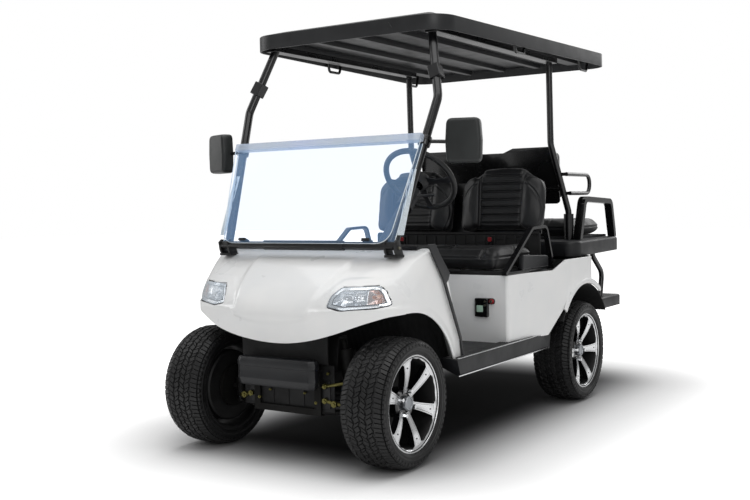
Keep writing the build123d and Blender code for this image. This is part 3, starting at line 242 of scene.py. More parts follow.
# the signal's bowl: silver with a rose cast
signalReflector = coated("metalledReflectorRose", "EFDFDA", "F5E8E4", metal, 0.1, 0.18)
# signal bulb: pale orange
amber = coated("acrylicAmber", "E9A27E", "F0B795", {"Coat Weight": 0.6}, 0.14, 0.2)
# charge display: flat pale green
paleGreen = coated("displayPaleGreen", "A9C6B4", "BAD3C3", {}, 0.3, 0.4)
# silvered glass: a clear mirror
mirrorGlass = coated("silveredGlass", "DDE3E6", "E8ECEE", metal, 0.02, 0.04, 40, 0.001)
# cast acrylic, faint blue, with a painted glow: its pale blue emission turns dark things behind it slate blue
# and keeps pale ones pale
paneGlow = {"Roughness": 0.06, "Emission Color": linear("A9D0FA"), "Emission Strength": 1.35}
acrylic = clearSheet("castAcrylicBlue", "7FB2E8", 0.018, 0.1, paneGlow)
# the sheet's polished rim: a pale line, a painted highlight standing for the light the clear sheet carries to
# its edge
acrylicEdgeHighlight = coated("polishedEdgePaintedHighlight", "DCE8F0", "F1F7FA", {"Coat Weight": 0.5}, 0.2, 0.3)
# clear PVC channel that holds both sheets: pale and slightly cloudy
clearChannel = clearSheet("clearPvcChannel", "C9D6E0", 0.55, 0.9, {"Roughness": 0.25})
# rubber under the panes and on the sills: smooth, matt black
grippingRubber = grained("epdmRubberBlack", "070707", "0C0C0D", 1.4, 0.03, {}, 0.4, 0.55)
# polycarbonate lamp lens: clear, glossy, seen mostly at its rim
lampLens = clearSheet("polycarbonateClear", "E4EEF6", 0.12, 0.7, {"Roughness": 0.04, "Coat Weight": 1.0})
# floor mat: matt rubber with ribs
matRubber = ribbedRubber("ribbedRubberMat")
print("materials made:", len(bpy.data.materials))


# making pieces
def facesOf(verts):
    return list({f for v in verts for f in v.link_faces})


def edgesOf(verts):
    return list({e for v in verts for e in v.link_edges})


def paint(faces, finish):
    for f in faces:
        f.material_index = finish


def sharpEdges(edges, steep):  # those where two faces meet at more than this angle in degrees
    return [e for e in edges if len(e.link_faces) == 2 and e.calc_face_angle(0) > radians(steep)]


def cleaned(bm):
    bmesh.ops.remove_doubles(bm, verts=bm.verts, dist=0.00002)
    bmesh.ops.recalc_face_normals(bm, faces=bm.faces)


def eased(bm, edges, offset, segments, finish=-1):  # rounds edges, in the mesh's own unit
    return bmesh.ops.bevel(
        bm, geom=edges, offset=offset, offset_type="OFFSET", segments=segments, profile=0.5, affect="EDGES",
        clamp_overlap=True, material=finish)


def bevelled(bm, edges, width, segments=2):  # rounds edges, width in mm on a mesh in metres
    eased(bm, edges, width / 1000, segments)


def piece(name, bm, body, finishes, stands=(), crease=35):
    mesh = bpy.data.meshes.new(name)
    bm.to_mesh(mesh)
    bm.free()
    for finish in finishes:
        mesh.materials.append(finish)
    mesh.shade_smooth()
    mesh.set_sharp_from_angle(angle=radians(crease))
    made = bpy.data.objects.new(name, mesh)
    scene.collection.objects.link(made)
    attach(made, body)
    if stands:
        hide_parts(*stands)
    return made


def boxOf(bm, low, high, finish=0, side=1, width=0, segments=2):
    # corners in mm from the front axle; side -1 puts it across the middle; width rounds its edges
    made = bmesh.ops.create_cube(bm, size=1.0)["verts"]
    ends = [sorted(pair) for pair in zip(at(side * low[0], *low[1:]), at(side * high[0], *high[1:]))]
    for v in made:
        v.co = Vector([ends[i][v.co[i] > 0] for i in range(3)])
    paint(facesOf(made), finish)
    if width:
        bevelled(bm, edgesOf(made), width, segments)


def coneOf(bm, place, segments, wide, narrow, depth, finish=0, width=0, steps=2):
    size = {"radius1": wide, "radius2": narrow, "depth": depth}
    made = bmesh.ops.create_cone(bm, cap_ends=True, segments=segments, matrix=place, **size)["verts"]
    paint(facesOf(made), finish)
    if width:
        bevelled(bm, sharpEdges(edgesOf(made), 57), width, steps)
    return made


def quarterTurn(place, axis, way=1):  # a place with its frame turned a quarter about one axis
    return Matrix.Translation(place) @ Matrix.Rotation(way * pi / 2, 4, axis)


def tubeAlong(bm, points, radius, sides, finish, turn):
    # a round bar through points in mm, its corners rounded
    path = []
    corners = [at(*p) for p in points]
    for i, corner in enumerate(corners):
        if i in (0, len(corners) - 1):
            path.append(corner)
            continue
        before, after = corners[i - 1] - corner, corners[i + 1] - corner
        back = min(turn / 1000, before.length * 0.45, after.length * 0.45)
        start, end = corner + before.normalized() * back, corner + after.normalized() * back
        for k in range(7):
            t = k / 6
            path.append(start * (1 - t) ** 2 + corner * 2 * t * (1 - t) + end * t * t)
    rings = []
    side = (path[1] - path[0]).normalized().orthogonal().normalized()
    for i, point in enumerate(path):
        along = (path[min(i + 1, len(path) - 1)] - path[max(i - 1, 0)]).normalized()
        side = (side - along * side.dot(along)).normalized()
        frameAt = Matrix.Translation(point) @ Matrix((side, along.cross(side), along)).transposed().to_4x4()
        ring = bmesh.ops.create_circle(bm, segments=sides, radius=radius / 1000, matrix=frameAt)["verts"]
        rings.append(edgesOf(ring))
    faces = []
    for one, two in zip(rings, rings[1:]):
        faces += bmesh.ops.bridge_loops(bm, edges=one + two)["faces"]
    for ring in (rings[0], rings[-1]):
        faces += bmesh.ops.edgeloop_fill(bm, edges=ring)["faces"]
    paint(faces, finish)


def loftRings(bm, rings, finish=0, caps=(0, -1)):
    # skins closed loops of points; whoever calls it recalculates the normals
    loops = [[bm.verts.new(p) for p in ring] for ring in rings]
    faces = []
    for one, two in zip(loops, loops[1:]):
        for k in range(len(one)):
            n = (k + 1) % len(one)
            faces.append(bm.faces.new((one[k], one[n], two[n], two[k])))
    faces += [bm.faces.new(loops[k]) for k in caps]
    paint(faces, finish)
    return faces


def mirrorX(bm):  # adds the other side's twin
    copy = bmesh.ops.duplicate(bm, geom=bm.verts[:] + bm.edges[:] + bm.faces[:])["geom"]
    bmesh.ops.scale(bm, vec=(-1, 1, 1), verts=[g for g in copy if isinstance(g, bmesh.types.BMVert)])
    bmesh.ops.reverse_faces(bm, faces=[g for g in copy if isinstance(g, bmesh.types.BMFace)])


def millimetres(bm):  # for a piece drawn in mm about its own middle
    bmesh.ops.scale(bm, vec=(0.001, 0.001, 0.001), verts=bm.verts)


def toMetres(bm):  # for a piece drawn in mm from the front axle
    for v in bm.verts:
        v.co = at(*v.co)


def softened(node, width, finish, wide=None):
    # the CAD shape with its hard edges rounded, so that they catch the light
    bm = bmesh.new()
    bm.from_mesh(frame["nodes"][node].data)
    paint(bm.faces, 0)
    bmesh.ops.remove_doubles(bm, verts=bm.verts, dist=0.00002)
    bmesh.ops.dissolve_limit(bm, angle_limit=radians(2), verts=bm.verts, edges=bm.edges)
    if wide:  # a larger round on the edges at one height: (width, lowest, highest), in mm
        rim = [e for e in sharpEdges(bm.edges, 50) if all(wide[1] < v.co.z * 1000 < wide[2] for v in e.verts)]
        bevelled(bm, rim, wide[0], 5)
    reach = width / 1000 * 2.2  # shorter edges would tangle
    bevelled(bm, [e for e in sharpEdges(bm.edges, 30) if e.calc_length() > reach], width)
    piece(node + "_finished", bm, frame["nodes"][node]["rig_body"], [finish], [node], 25)


# camera, floor and lamps
shot = {
    "place": (2.611, -4.5855, 1.061), "yaw": 0.579, "pitch": 0.045, "roll": -0.019, "focal": 1004.5,
    "width": 750, "sensor": 36,
}
yaw, pitch = shot["yaw"], shot["pitch"]
ahead = Vector((-sin(yaw) * cos(pitch), cos(yaw) * cos(pitch), -sin(pitch)))
right = ahead.cross(Vector((0, 0, 1))).normalized()
up = right.cross(ahead)
level = right * cos(shot["roll"]) + up * sin(shot["roll"])
tilted = up * cos(shot["roll"]) - right * sin(shot["roll"])
camera = bpy.data.objects.new("camera", bpy.data.cameras.new("camera"))
scene.collection.objects.link(camera)
camera.data.sensor_width = shot["sensor"]
camera.data.lens = shot["focal"] / shot["width"] * shot["sensor"]
facing = Matrix((level, tilted, -ahead)).transposed().to_4x4()
camera.matrix_world = Matrix.Translation(shot["place"]) @ facing
scene.camera = camera
scene.view_settings.view_transform = "Standard"

floorSpec = {
    "size": 30, "shadowHalf": (0.34, 1.0, 0), "shadowReach": 0.56, "glowStart": 0.3, "glowReach": 1.5,
    "underGlow": 0.22, "shadowColours": ((0.0, "2A2A2B"), (0.4, "A2A2A3"), (1.0, "F5F5F5")),
}


def paperFloor():  # seamless white paper with a painted shadow under the object, plain white a little away from it
    spec = floorSpec
    dull = {"Roughness": 0.9, "Specular IOR Level": 0.1, "Emission Color": (1, 1, 1, 1)}
    material, tree, bsdf, place = newMaterial("seamlessPaper", dull)
    # painted shadow: the paper's colour darkens the nearer it is to a box round the object
    part = mathNode(tree, "ABSOLUTE", place, kind="ShaderNodeVectorMath")
    part = mathNode(tree, "SUBTRACT", part, inputs={1: spec["shadowHalf"]}, kind="ShaderNodeVectorMath")
    part = mathNode(tree, "MAXIMUM", part, inputs={1: (0, 0, 0)}, kind="ShaderNodeVectorMath")
    away = addNode(tree, "ShaderNodeVectorMath", {"operation": "LENGTH"}, None, {0: part}).outputs["Value"]
    near = spread(tree, away, 0.0, 1.0, 0.0, spec["shadowReach"], "SMOOTHSTEP")
    color = ramp(tree, near, [(stop, linear(code)) for stop, code in spec["shadowColours"]])
    tree.links.new(color, bsdf.inputs["Base Color"])
    glow = spread(tree, away, 0.0, 1.0, spec["glowStart"], spec["glowReach"], "SMOOTHSTEP")
    rays = addNode(tree, "ShaderNodeLightPath").outputs  # the glow is for the eye, and lights the object less
    seen = mathNode(tree, "MAXIMUM", rays["Is Camera Ray"], rays["Is Transmission Ray"])
    shown = mathNode(tree, "MULTIPLY", glow, spread(tree, seen, spec["underGlow"], 1.0))
    tree.links.new(shown, bsdf.inputs["Emission Strength"])
    return material


floorMesh = bmesh.new()
bmesh.ops.create_grid(floorMesh, x_segments=1, y_segments=1, size=floorSpec["size"])
paper = bpy.data.meshes.new("floor")
floorMesh.to_mesh(paper)
floorMesh.free()
paper.materials.append(paperFloor())
floor = bpy.data.objects.new("floor", paper)
scene.collection.objects.link(floor)

lamps = {  # name: place, target, size, power
    "overhead": ((0.3, -0.4, 4.6), (0, 0, 0), (5.0, 6.0), 158),
    "frontLeft": ((4.2, -4.6, 3.0), (0, -0.2, 0.7), (2.2, 2.6), 50),
    "sideRight": ((-4.4, -1.6, 2.6), (0, 0, 0.8), (1.6, 3.6), 34),
    "behind": ((1.0, 5.0, 2.6), (0, 0, 0.8), (3.2, 1.8), 36),
}
for name, (place, target, size, power) in lamps.items():
    light = bpy.data.lights.new(name, "AREA")
    light.shape = "RECTANGLE"
    light.size, light.size_y = size
    light.energy = power
    made = bpy.data.objects.new(name, light)
    made.location = place
    made.rotation_euler = (Vector(target) - Vector(place)).to_track_quat("-Z", "Y").to_euler()
    scene.collection.objects.link(made)

skySpec = {"diffuse": 0.3, "glossy": 0.12}  # how strongly the white surroundings light and reflect
world = bpy.data.worlds.new("studio")
scene.world = world
world.use_nodes = True
sky = world.node_tree
sky.nodes.clear()
rays = addNode(sky, "ShaderNodeLightPath").outputs
seen = mathNode(sky, "MAXIMUM", rays["Is Camera Ray"], rays["Is Transmission Ray"])
bounce = mathNode(sky, "MULTIPLY", rays["Is Glossy Ray"], inputs={1: skySpec["glossy"]})
strength = spread(sky, mathNode(sky, "MAXIMUM", seen, bounce), skySpec["diffuse"], 1.0)
backdrop = addNode(sky, "ShaderNodeBackground", inputs={"Color": (1, 1, 1, 1)}, links={"Strength": strength})
addNode(sky, "ShaderNodeOutputWorld", links={"Surface": backdrop.outputs["Background"]})
print("camera, floor and lamps set")

# CAD parts with rounded edges: material, and the rounding in mm
finishes = {
    "frame_rails": (chassisBlack, 3), "deck_bearers": (chassisBlack, 2), "front_suspension": (castIron, 1.5),
    "rear_axle": (castIron, 3), "drive_motor": (castIron, 4), "leaf_springs": (chassisBlack, 1.5),
    "battery_pack": (batteryCase, 5), "cowl_trims": (grainedPlastic, 2.5), "dashboard": (grainedPlastic, 2),
    "floor_mat": (matRubber, 2), "sills": (grainedPlastic, 2.5), "pedals": (chassisBlack, 3),
    "rear_body": (bodyWhite, 3), "seat_rim": (linerPlastic, 3), "tail_lamps": (tailRed, 4),
    "rear_deck": (grainedPlastic, 6),
    "rear_back_panel": (panelGloss, 3), "armrests": (panelGloss, 4), "rear_footrest": (grainedPlastic, 6),
    "roof": (roofPlastic, 5), "front_pillars": (tubeBlack, 3), "roof_rails": (tubeBlack, 2),
    "steering_column": (grainedPlastic, 2), "rear_seat_board": (grainedPlastic, 2),
    "knuckle_left": (castIron, 2), "knuckle_right": (castIron, 2),
}
wideRims = {  # the rounding of one edge line, between these heights, in mm
    "roof": (16, 1868, 1874), "rear_deck": (15, 843, 849), "rear_footrest": (12, 479, 485),
    "rear_body": (9, 750, 775),
}
asBuilt = {  # round bars and thin shells, shown as they are
    "wheel_liners": linerPlastic, "grab_loops": tubeBlack, "footrest_tubes": tubeBlack,
    "roof_handles": panelGloss, "steering_rack_bar": zincSteel, "rear_struts": tubeBlack,
    "seat_back_frame": tubeBlack,
}
for node, (finish, width) in finishes.items():
    softened(node, width, finish, wideRims.get(node))
for node, finish in asBuilt.items():
    shown = frame["nodes"][node].data
    shown.materials.clear()
    shown.materials.append(finish)
print("CAD parts finished:", len(finishes) + len(asBuilt))

# wheels: lengths in mm about the wheel's own middle, X outwards
wheelSpec = {
    "radius": 265, "carcass": 258.6, "depth": 5.8, "rows": 84, "sipe": 1.7, "zig": 4.2, "steps": 96,
    "columns": (-98, -91, -61, -55, -32, -26, -3, 3, 26, 32, 55, 61, 91, 98),
    "slants": (0, 0, 7, 7, -7, -7, 7, 7, -7, -7, 7, 7, 0, 0),
    "wall": (
        (98, 236.5), (100.5, 232), (101, 226), (102, 224.5), (102, 221.5), (101, 220), (100.6, 212),
        (101.2, 210.5), (101.2, 208.5), (100, 207), (96, 200), (92, 199), (90, 187), (80, 186)),
    "shoulderBars": 60, "barAt": (99.5, 236), "barSize": (3.2, 11.5, 15.5, 14),
}
rimSpec = {
    "spokes": 6, "lugs": 4, "lugCircle": 50.8, "lugPlace": 58, "lugTurn": 0.4,
    "barrel": (
        (91, 196), (92, 192.5), (90, 189), (83, 186.5), (80, 180), (70, 177), (-66, 174), (-84, 180),
        (-92, 186), (-92, 197), (-86, 197), (-84, 187), (84, 187), (86, 197), (90, 198)),
    "drum": (
        (-76, 26), (-76, 148), (-71, 156), (-62, 158), (-60, 153), (-54, 153), (-52, 158), (-44, 158),
        (-42, 153), (-36, 153), (-34, 158), (-26, 156), (-22, 148), (-18, 90), (-16, 26)),
    "lip": (
        (92.4, 194), (91.4, 190.5), (87.6, 188), (84.8, 184), (83, 178.5), (80.5, 178.5), (81.5, 186),
        (88, 196.5), (91.5, 196.8)),
    "hub": ((-8, 18), (-8, 62), (42, 66), (50, 60), (50, 40), (44, 36), (44, 18)),
    "cap": ((44, 0.01), (44, 30), (66, 29.5), (69, 27), (69, 22), (66, 20.5), (66, 0.01)),
    "lipInner": 186, "lipWave": (7.5, -11.0, 0.19, 2.8, 1.6, 24), "spokeLength": (40, 143),
    "spokeWidth": (14, 12.5, 1.7), "spokeFront": (50, 33), "spokeBack": (26, 36), "border": 4.2, "line": 1.6,
    "studAt": (81.5, 0, 150),
}
corners = {  # which wheel: side, half track, axle's y, spoke turn in degrees
    "front_left": (1, 470, 0, 12), "front_right": (-1, 470, 0, 12), "rear_left": (1, 536, 1665, 28),
    "rear_right": (-1, 536, 1665, 28),
}


def turned(bm, outline, steps, finish, closed=True):  # an outline of (x, radius) in mm, spun round the X axis
    verts = [bm.verts.new((x, 0, r)) for x, r in outline]
    pairs = list(zip(verts, verts[1:])) + ([(verts[-1], verts[0])] if closed else [])
    edges = [bm.edges.new(pair) for pair in pairs]
    old = set(bm.faces)
    bmesh.ops.spin(
        bm, geom=verts + edges, cent=(0, 0, 0), axis=(1, 0, 0), angle=tau, steps=steps, use_merge=True)
    made = [f for f in bm.faces if f not in old]
    paint(made, finish)
    return made


def rolled(bm, verts, angle):  # turns part of a wheel about its axle
    bmesh.ops.rotate(bm, cent=(0, 0, 0), matrix=Matrix.Rotation(angle, 3, "X"), verts=verts)


def crownDrop(across):  # how far the tread curves down towards its shoulders
    a = abs(across)
    return 0.0004 * a * a + (max(0.0, a - 78) ** 1.75) * 0.105


def treadBlocks(bm):
    spec = wheelSpec
    columns, rows = spec["columns"], spec["rows"]
    last = len(columns) - 1
    grid = bmesh.ops.create_grid(bm, x_segments=last, y_segments=rows, size=1.0)["verts"]
    ribs = []
    for f in facesOf(grid):
        column = int((f.calc_center_median().x + 1) / 2 * last)
        if column % 2 == 1 or column in (0, last - 1):
            ribs.append(f)
    for v in grid:
        ix, iy = round((v.co.x + 1) / 2 * last), round((v.co.y + 1) / 2 * rows)
        inside = 1 < ix < last - 1
        across = columns[ix] + ((1, -1)[iy % 2] * spec["zig"] if inside else 0)
        angle = iy * tau / rows + spec["slants"][ix] / spec["radius"]
        r = spec["carcass"] - crownDrop(across)
        v.co = (across, r * sin(angle), r * cos(angle))
    bmesh.ops.remove_doubles(bm, verts=grid, dist=0.01)
    faces = [f for f in ribs if f.is_valid]
    bmesh.ops.recalc_face_normals(bm, faces=bm.faces)
    for thickness, depth in ((spec["sipe"], spec["depth"] - 0.9), (0.8, 0.6)):  # the block and its eased top
        bmesh.ops.inset_individual(bm, faces=faces, thickness=thickness, depth=depth, use_even_offset=True)


def tyreMesh():
    spec = wheelSpec
    bm = bmesh.new()
    treadBlocks(bm)
    edge = (98, spec["carcass"] - crownDrop(98))
    half = [edge, *spec["wall"]]
    turned(bm, half + [(-x, r) for x, r in reversed(half)], spec["steps"], 0, closed=False)
    place, height = spec["barAt"]
    across, narrow, wide, tall = spec["barSize"]
    for side in (1, -1):  # short bars where the shoulder runs into the sidewall
        for k in range(spec["shoulderBars"]):
            bar = bmesh.ops.create_cube(bm, size=1.0)["verts"]
            for v in bar:
                width = wide if v.co.z > 0 else narrow
                v.co = (side * (place + v.co.x * across), v.co.y * width, height + v.co.z * tall)
            rolled(bm, bar, tau * (k + 0.5) / spec["shoulderBars"])
    return bm


def waveLip(lip):  # the lip widens into each spoke with a wave
    fall, dip, span, rise, ripple, waves = rimSpec["lipWave"]
    sector = tau / rimSpec["spokes"]
    for v in {v for f in lip for v in f.verts}:
        r = hypot(v.co.y, v.co.z)
        if r < rimSpec["lipInner"]:
            turn = (atan2(-v.co.y, v.co.z) + tau) % sector
            near = min(turn, sector - turn)
            wave = dip * exp(-(near / span) ** 4) + rise + ripple * cos(near * waves)
            scale = (r + (rimSpec["lipInner"] - r) / fall * wave) / r
            v.co.y *= scale
            v.co.z *= scale


def spokeSet(bm):  # one spoke with a bright grooved face, then its copies
    spec = rimSpec
    cube = bmesh.ops.create_cube(bm, size=1.0)["verts"]
    tall = [e for e in edgesOf(cube) if abs((e.verts[0].co - e.verts[1].co).z) > 0.5]
    bmesh.ops.subdivide_edges(bm, edges=tall, cuts=5, use_grid_fill=True)
    shape = [v for v in bm.verts if max(map(abs, v.co)) <= 0.5001]
    for v in shape:
        t = v.co.z + 0.5
        half = spec["spokeWidth"][0] + spec["spokeWidth"][1] * t ** spec["spokeWidth"][2]
        front = spec["spokeFront"][0] + spec["spokeFront"][1] * sin(t * pi * 0.5)
        out = front if v.co.x > 0 else spec["spokeBack"][0] + spec["spokeBack"][1] * t
        v.co = (out, v.co.y * 2 * half, spec["spokeLength"][0] + spec["spokeLength"][1] * t)
    sides = facesOf(shape)
    front = [f for f in sides if all(v.co.x > 45 for v in f.verts) and abs(f.normal.x) > 0.5]
    bmesh.ops.recalc_face_normals(bm, faces=sides)
    paint(sides, 1)
    paint(front, 0)
    even = {"faces": front, "use_even_offset": True, "use_boundary": True}
    bmesh.ops.inset_region(bm, thickness=spec["border"], depth=0.0, **even)
    paint(bmesh.ops.inset_region(bm, thickness=spec["line"], depth=-0.2, **even)["faces"], 1)
    stud = coneOf(bm, quarterTurn(spec["studAt"], "Y"), 12, 3.2, 2.4, 3, 1)
    seeds = [v for v in shape if v.is_valid] + stud
    found = set(seeds)
    while seeds:  # everything that hangs together with the spoke
        v = seeds.pop()
        fresh = {e.other_vert(v) for e in v.link_edges} - found
        found |= fresh
        seeds += fresh
    faces = facesOf(found)
    paint([f for f in faces if f.calc_center_median().x < 30], 3)
    for k in range(1, spec["spokes"]):
        copy = bmesh.ops.duplicate(bm, geom=list(found) + edgesOf(found) + faces)["geom"]
        rolled(bm, [g for g in copy if isinstance(g, bmesh.types.BMVert)], tau * k / spec["spokes"])


def rimMesh():  # finishes: 0 machined, 1 gloss black, 2 grey cap, 3 chassis black
    spec = rimSpec
    bm = bmesh.new()
    turned(bm, spec["barrel"], 96, 3)
    turned(bm, spec["drum"], 64, 3)
    waveLip(turned(bm, spec["lip"], 144, 0))
    spokeSet(bm)
    turned(bm, spec["hub"], 48, 1)
    turned(bm, spec["cap"], 36, 2, closed=False)
    for k in range(spec["lugs"]):
        nut = coneOf(bm, quarterTurn((spec["lugPlace"], 0, 0), "Y"), 6, 10.5, 8.6, 22)
        turn = tau * (k + spec["lugTurn"]) / spec["lugs"]
        bmesh.ops.translate(bm, vec=Vector((0, sin(turn), cos(turn))) * spec["lugCircle"], verts=nut)
    return bm


sources = {
    "tyre_": (tyreMesh(), [tyreRubber]),
    "rim_": (rimMesh(), [machinedAlloy, rimBlack, capGrey, chassisBlack]),
}
for source, coats in sources.values():
    cleaned(source)
    millimetres(source)
for corner, (side, halfTrack, axleY, spokeTurn) in corners.items():
    for node, (source, coats) in sources.items():
        bm = source.copy()
        rolled(bm, bm.verts, radians(spokeTurn))
        if side < 0:
            bmesh.ops.scale(bm, vec=(-1, 1, 1), verts=bm.verts)
            bmesh.ops.reverse_faces(bm, faces=bm.faces)
        bmesh.ops.translate(bm, vec=at(side * halfTrack, axleY, wheelSpec["radius"]), verts=bm.verts)
        piece(node + corner + "_finished", bm, "wheel_" + corner, coats, [node + corner], 32)
for source, coats in sources.values():
    source.free()
print("wheels made: 4")

# cowl: a smooth body of five faces blended together, its skin drawn with relief; mm from the front axle
cowlSpec = {
    "columns": 300, "rows": 84, "wall": 5.5, "rim": 1.8, "halfWidth": 560, "noseY": -231, "noseRadius": 1000,
    "cornerRadius": 110, "side": ((-168, 481), (-231, 621), (-209, 691), (-120, 772), (120, 892)),
    "sideRounding": (16, 60, 90, 60), "top": 892, "noseRounding": 34,
    "shoulder": ((430, -20, 835), (0.539, -0.6065, 0.585)), "shoulderRounding": 46, "archRadius": 363,
    "archTurn": (18.8, 94.7), "axleZ": 265, "inside": 9, "heart": (0, 150, 600), "chin": (481, 147, 600),
    "chinBack": 35, "rearEdge": ((412, 384), (398, 470), (300, 764), (232, 852), (180, 892)),
}
reliefSpec = {  # heights and edges of the centre panel, the belly band and the wheel flare
    "panelFoot": 640, "panelHead": (820, 868), "panelHalf": 190, "panelSpread": 62, "panelTop": 840,
    "footOval": (196, 44), "panelDepth": 11.5, "ridge": 3.4, "panelEnd": (40, 120),
    "bandZ": 648, "bandRise": 10, "bandDip": 52, "bandDipHalf": 200, "bandSide": 520, "bandDepth": 8.0,
    "bandRidge": 2.6, "bandEnd": (-120, 40), "flare": 7.0, "flareRim": (6, 42), "flareFront": (-150, -60),
    "flareSide": (505, 545),
}
lampSpec = {
    "outline": (
        (272, 658), (279, 697), (307, 732), (457, 738), (480, 717), (504, 666), (459, 655), (332, 645)),
    "cornerRadius": (9, 26, 16, 14, 12, 10, 40, 40), "gap": 4.0, "band": 11.0, "line": 4.0,
    "split": (417, 423),
    "mainBulb": (362, 692, 9.5), "signalBulb": (452, 696, 9.0), "middle": (388, 692), "halfSize": (130, 62),
    "lensStep": 5, "bowlStep": 3, "bowl": (9, 30, 24), "flutes": (0.9, 8.0),
    "bucket": ((0, 7.5), (0, 3.0), (2.2, 3.0), (2.2, 44.0)), "bucketRim": 0.6, "lensWall": 2.5,
}


def fade(low, high, value):
    return 1 - smoothStep(low, high, value)


def hump(distance, width):
    return exp(-(distance / width) ** 2)


def rounded(a, b, r):  # the fillet of two surfaces, each given as a distance
    return min(-r, max(a, b)) + hypot(max(r + a, 0), max(r + b, 0))


def cowlDistance(x, y, z):  # above zero outside
    spec = cowlSpec
    x = abs(x)
    total = None
    points = spec["side"]
    for i, (one, two) in enumerate(zip(points, points[1:])):
        dy, dz = two[0] - one[0], two[1] - one[1]
        face = ((z - one[1]) * dy - (y - one[0]) * dz) / hypot(dy, dz)
        total = face if total is None else rounded(total, face, spec["sideRounding"][i - 1])
    total = rounded(total, z - spec["top"], spec["sideRounding"][3])
    nose = hypot(x, y - spec["noseY"] - spec["noseRadius"]) - spec["noseRadius"]
    total = rounded(total, rounded(nose, x - spec["halfWidth"], spec["cornerRadius"]), spec["noseRounding"])
    spot, way = spec["shoulder"]
    slant = (x - spot[0]) * way[0] + (y - spot[1]) * way[1] + (z - spot[2]) * way[2]
    return rounded(total, slant, spec["shoulderRounding"])


def crossing(low, high, steps, outside):  # halves a range until it closes on the surface
    for k in range(steps):
        middle = (low + high) / 2
        if outside(middle):
            high = middle
        else:
            low = middle
    return high


def onCowl(way):  # where a line from the middle meets the surface
    heart = Vector(cowlSpec["heart"])
    return heart + way * crossing(100.0, 900.0, 30, lambda reach: cowlDistance(*(heart + way * reach)) >= 0)


def lowerEdge(t):  # from the rear foot of the left side, over the wheel, round the nose to the middle
    spec = cowlSpec
    if t < 0.5:
        first, last = spec["archTurn"]
        turn = radians(first + (last - first) * t / 0.5)
        r = spec["archRadius"]
        return Vector((spec["halfWidth"], r * cos(turn), spec["axleZ"] + r * sin(turn)))
    s = (t - 0.5) / 0.5
    x = spec["halfWidth"] * (1 - s)
    low, rise, span = spec["chin"]
    arcY = spec["noseY"] + spec["noseRadius"] - sqrt(spec["noseRadius"] ** 2 - x * x)
    y = arcY + spec["chinBack"] * fade(0.0, 0.12, s)
    return Vector((x, y, low + rise * smoothStep(0, span, x) ** 1.15))


def upperEdge(t):  # from the same foot up the rear edge, then along the top to the middle
    path = cowlSpec["rearEdge"]
    if t < 0.5:
        place = t / 0.5 * (len(path) - 1)
        i = min(int(place), len(path) - 2)
        y, z = (path[i][k] + (path[i + 1][k] - path[i][k]) * (place - i) for k in (0, 1))
        return Vector((cowlSpec["halfWidth"], y, z))
    return Vector((cowlSpec["halfWidth"] * (1 - (t - 0.5) / 0.5), *path[-1]))


def cowlRelief(x, y, z):  # how far the skin stands out
    spec = reliefSpec
    a = abs(x)
    if z > spec["panelFoot"]:
        edge = spec["panelHalf"] + spec["panelSpread"] * smoothStep(spec["panelFoot"], spec["panelTop"], z)
        panel, ridge = fade(edge - 9, edge + 13, a), hump(a - edge - 4, 9)
    else:  # its foot is half an oval
        wide, tall = spec["footOval"]
        off = hypot(a / wide, (spec["panelFoot"] - z) / tall) - 1
        panel, ridge = fade(-9, 11, off * 60), hump(off * 7, 1)
    relief = (spec["panelDepth"] * panel + spec["ridge"] * ridge) * fade(*spec["panelHead"], z)
    relief *= fade(*spec["panelEnd"], y)
    dip = max(0.0, 1 - (a / spec["bandDipHalf"]) ** 2) ** 0.5
    rise = smoothStep(spec["bandDipHalf"], spec["bandSide"], a)
    over = z - (spec["bandZ"] + spec["bandRise"] * rise - spec["bandDip"] * dip)
    band = spec["bandDepth"] * fade(-9, 4, over) + spec["bandRidge"] * hump(over + 8, 6)
    relief += band * fade(*spec["bandEnd"], y)
    rim = hypot(y, z - cowlSpec["axleZ"]) - cowlSpec["archRadius"]
    flare = spec["flare"] * fade(*spec["flareRim"], rim) * smoothStep(*spec["flareFront"], y)
    return relief + flare * smoothStep(*spec["flareSide"], a)


def skinGap(x, y, z):  # how far a place stands outside the drawn skin
    return cowlDistance(x, y, z) + cowlSpec["inside"] - cowlRelief(x, y, z)


def cowlSlope(spot):  # the way straight out of the surface
    ways = [Vector([2.0 if i == k else 0 for i in range(3)]) for k in range(3)]
    return Vector([cowlDistance(*(spot + way)) - cowlDistance(*(spot - way)) for way in ways]).normalized()


def skinAt(x, z, deeper=0.0):  # how far back the cowl's skin is at that place, plus a depth
    return crossing(-290.0, 120.0, 22, lambda y: skinGap(x, y, z) <= 0) + deeper


def roundedCorners(points, radii, steps=4):  # a closed outline with its corners turned into short runs
    if not isinstance(radii, (list, tuple)):
        radii = [radii] * len(points)
    ring = []
    for i, point in enumerate(map(Vector, points)):
        before, after = Vector(points[i - 1]) - point, Vector(points[(i + 1) % len(points)]) - point
        half = before.angle(after) / 2
        back = radii[i] / max(0.15, abs(sin(half) / max(0.05, cos(half))))
        back = min(back, before.length * 0.45, after.length * 0.45)
        start, end = point + before.normalized() * back, point + after.normalized() * back
        for k in range(steps + 1):
            t = k / steps
            ring.append(tuple(start * (1 - t) ** 2 + point * 2 * t * (1 - t) + end * t * t))
    return ring


def drawnIn(outline, inset):  # the same outline moved inwards; outwards where inset is below zero
    ring = []
    middle = Vector((sum(p[0] for p in outline), sum(p[1] for p in outline))) / len(outline)
    for i, point in enumerate(map(Vector, outline)):
        one = (point - Vector(outline[i - 1])).normalized()
        two = (Vector(outline[(i + 1) % len(outline)]) - point).normalized()
        away = Vector((-(one + two).y, (one + two).x)).normalized()
        if away.dot(middle - point) < 0:
            away = -away
        ring.append(tuple(point + away * inset))
    return ring


def stacked(bm, outline, levels, place, finish=0):  # skins an outline drawn in by an inset at each level
    rings = [[place(a, b, level) for a, b in drawnIn(outline, inset)] for level, inset in levels]
    return loftRings(bm, rings, finish)


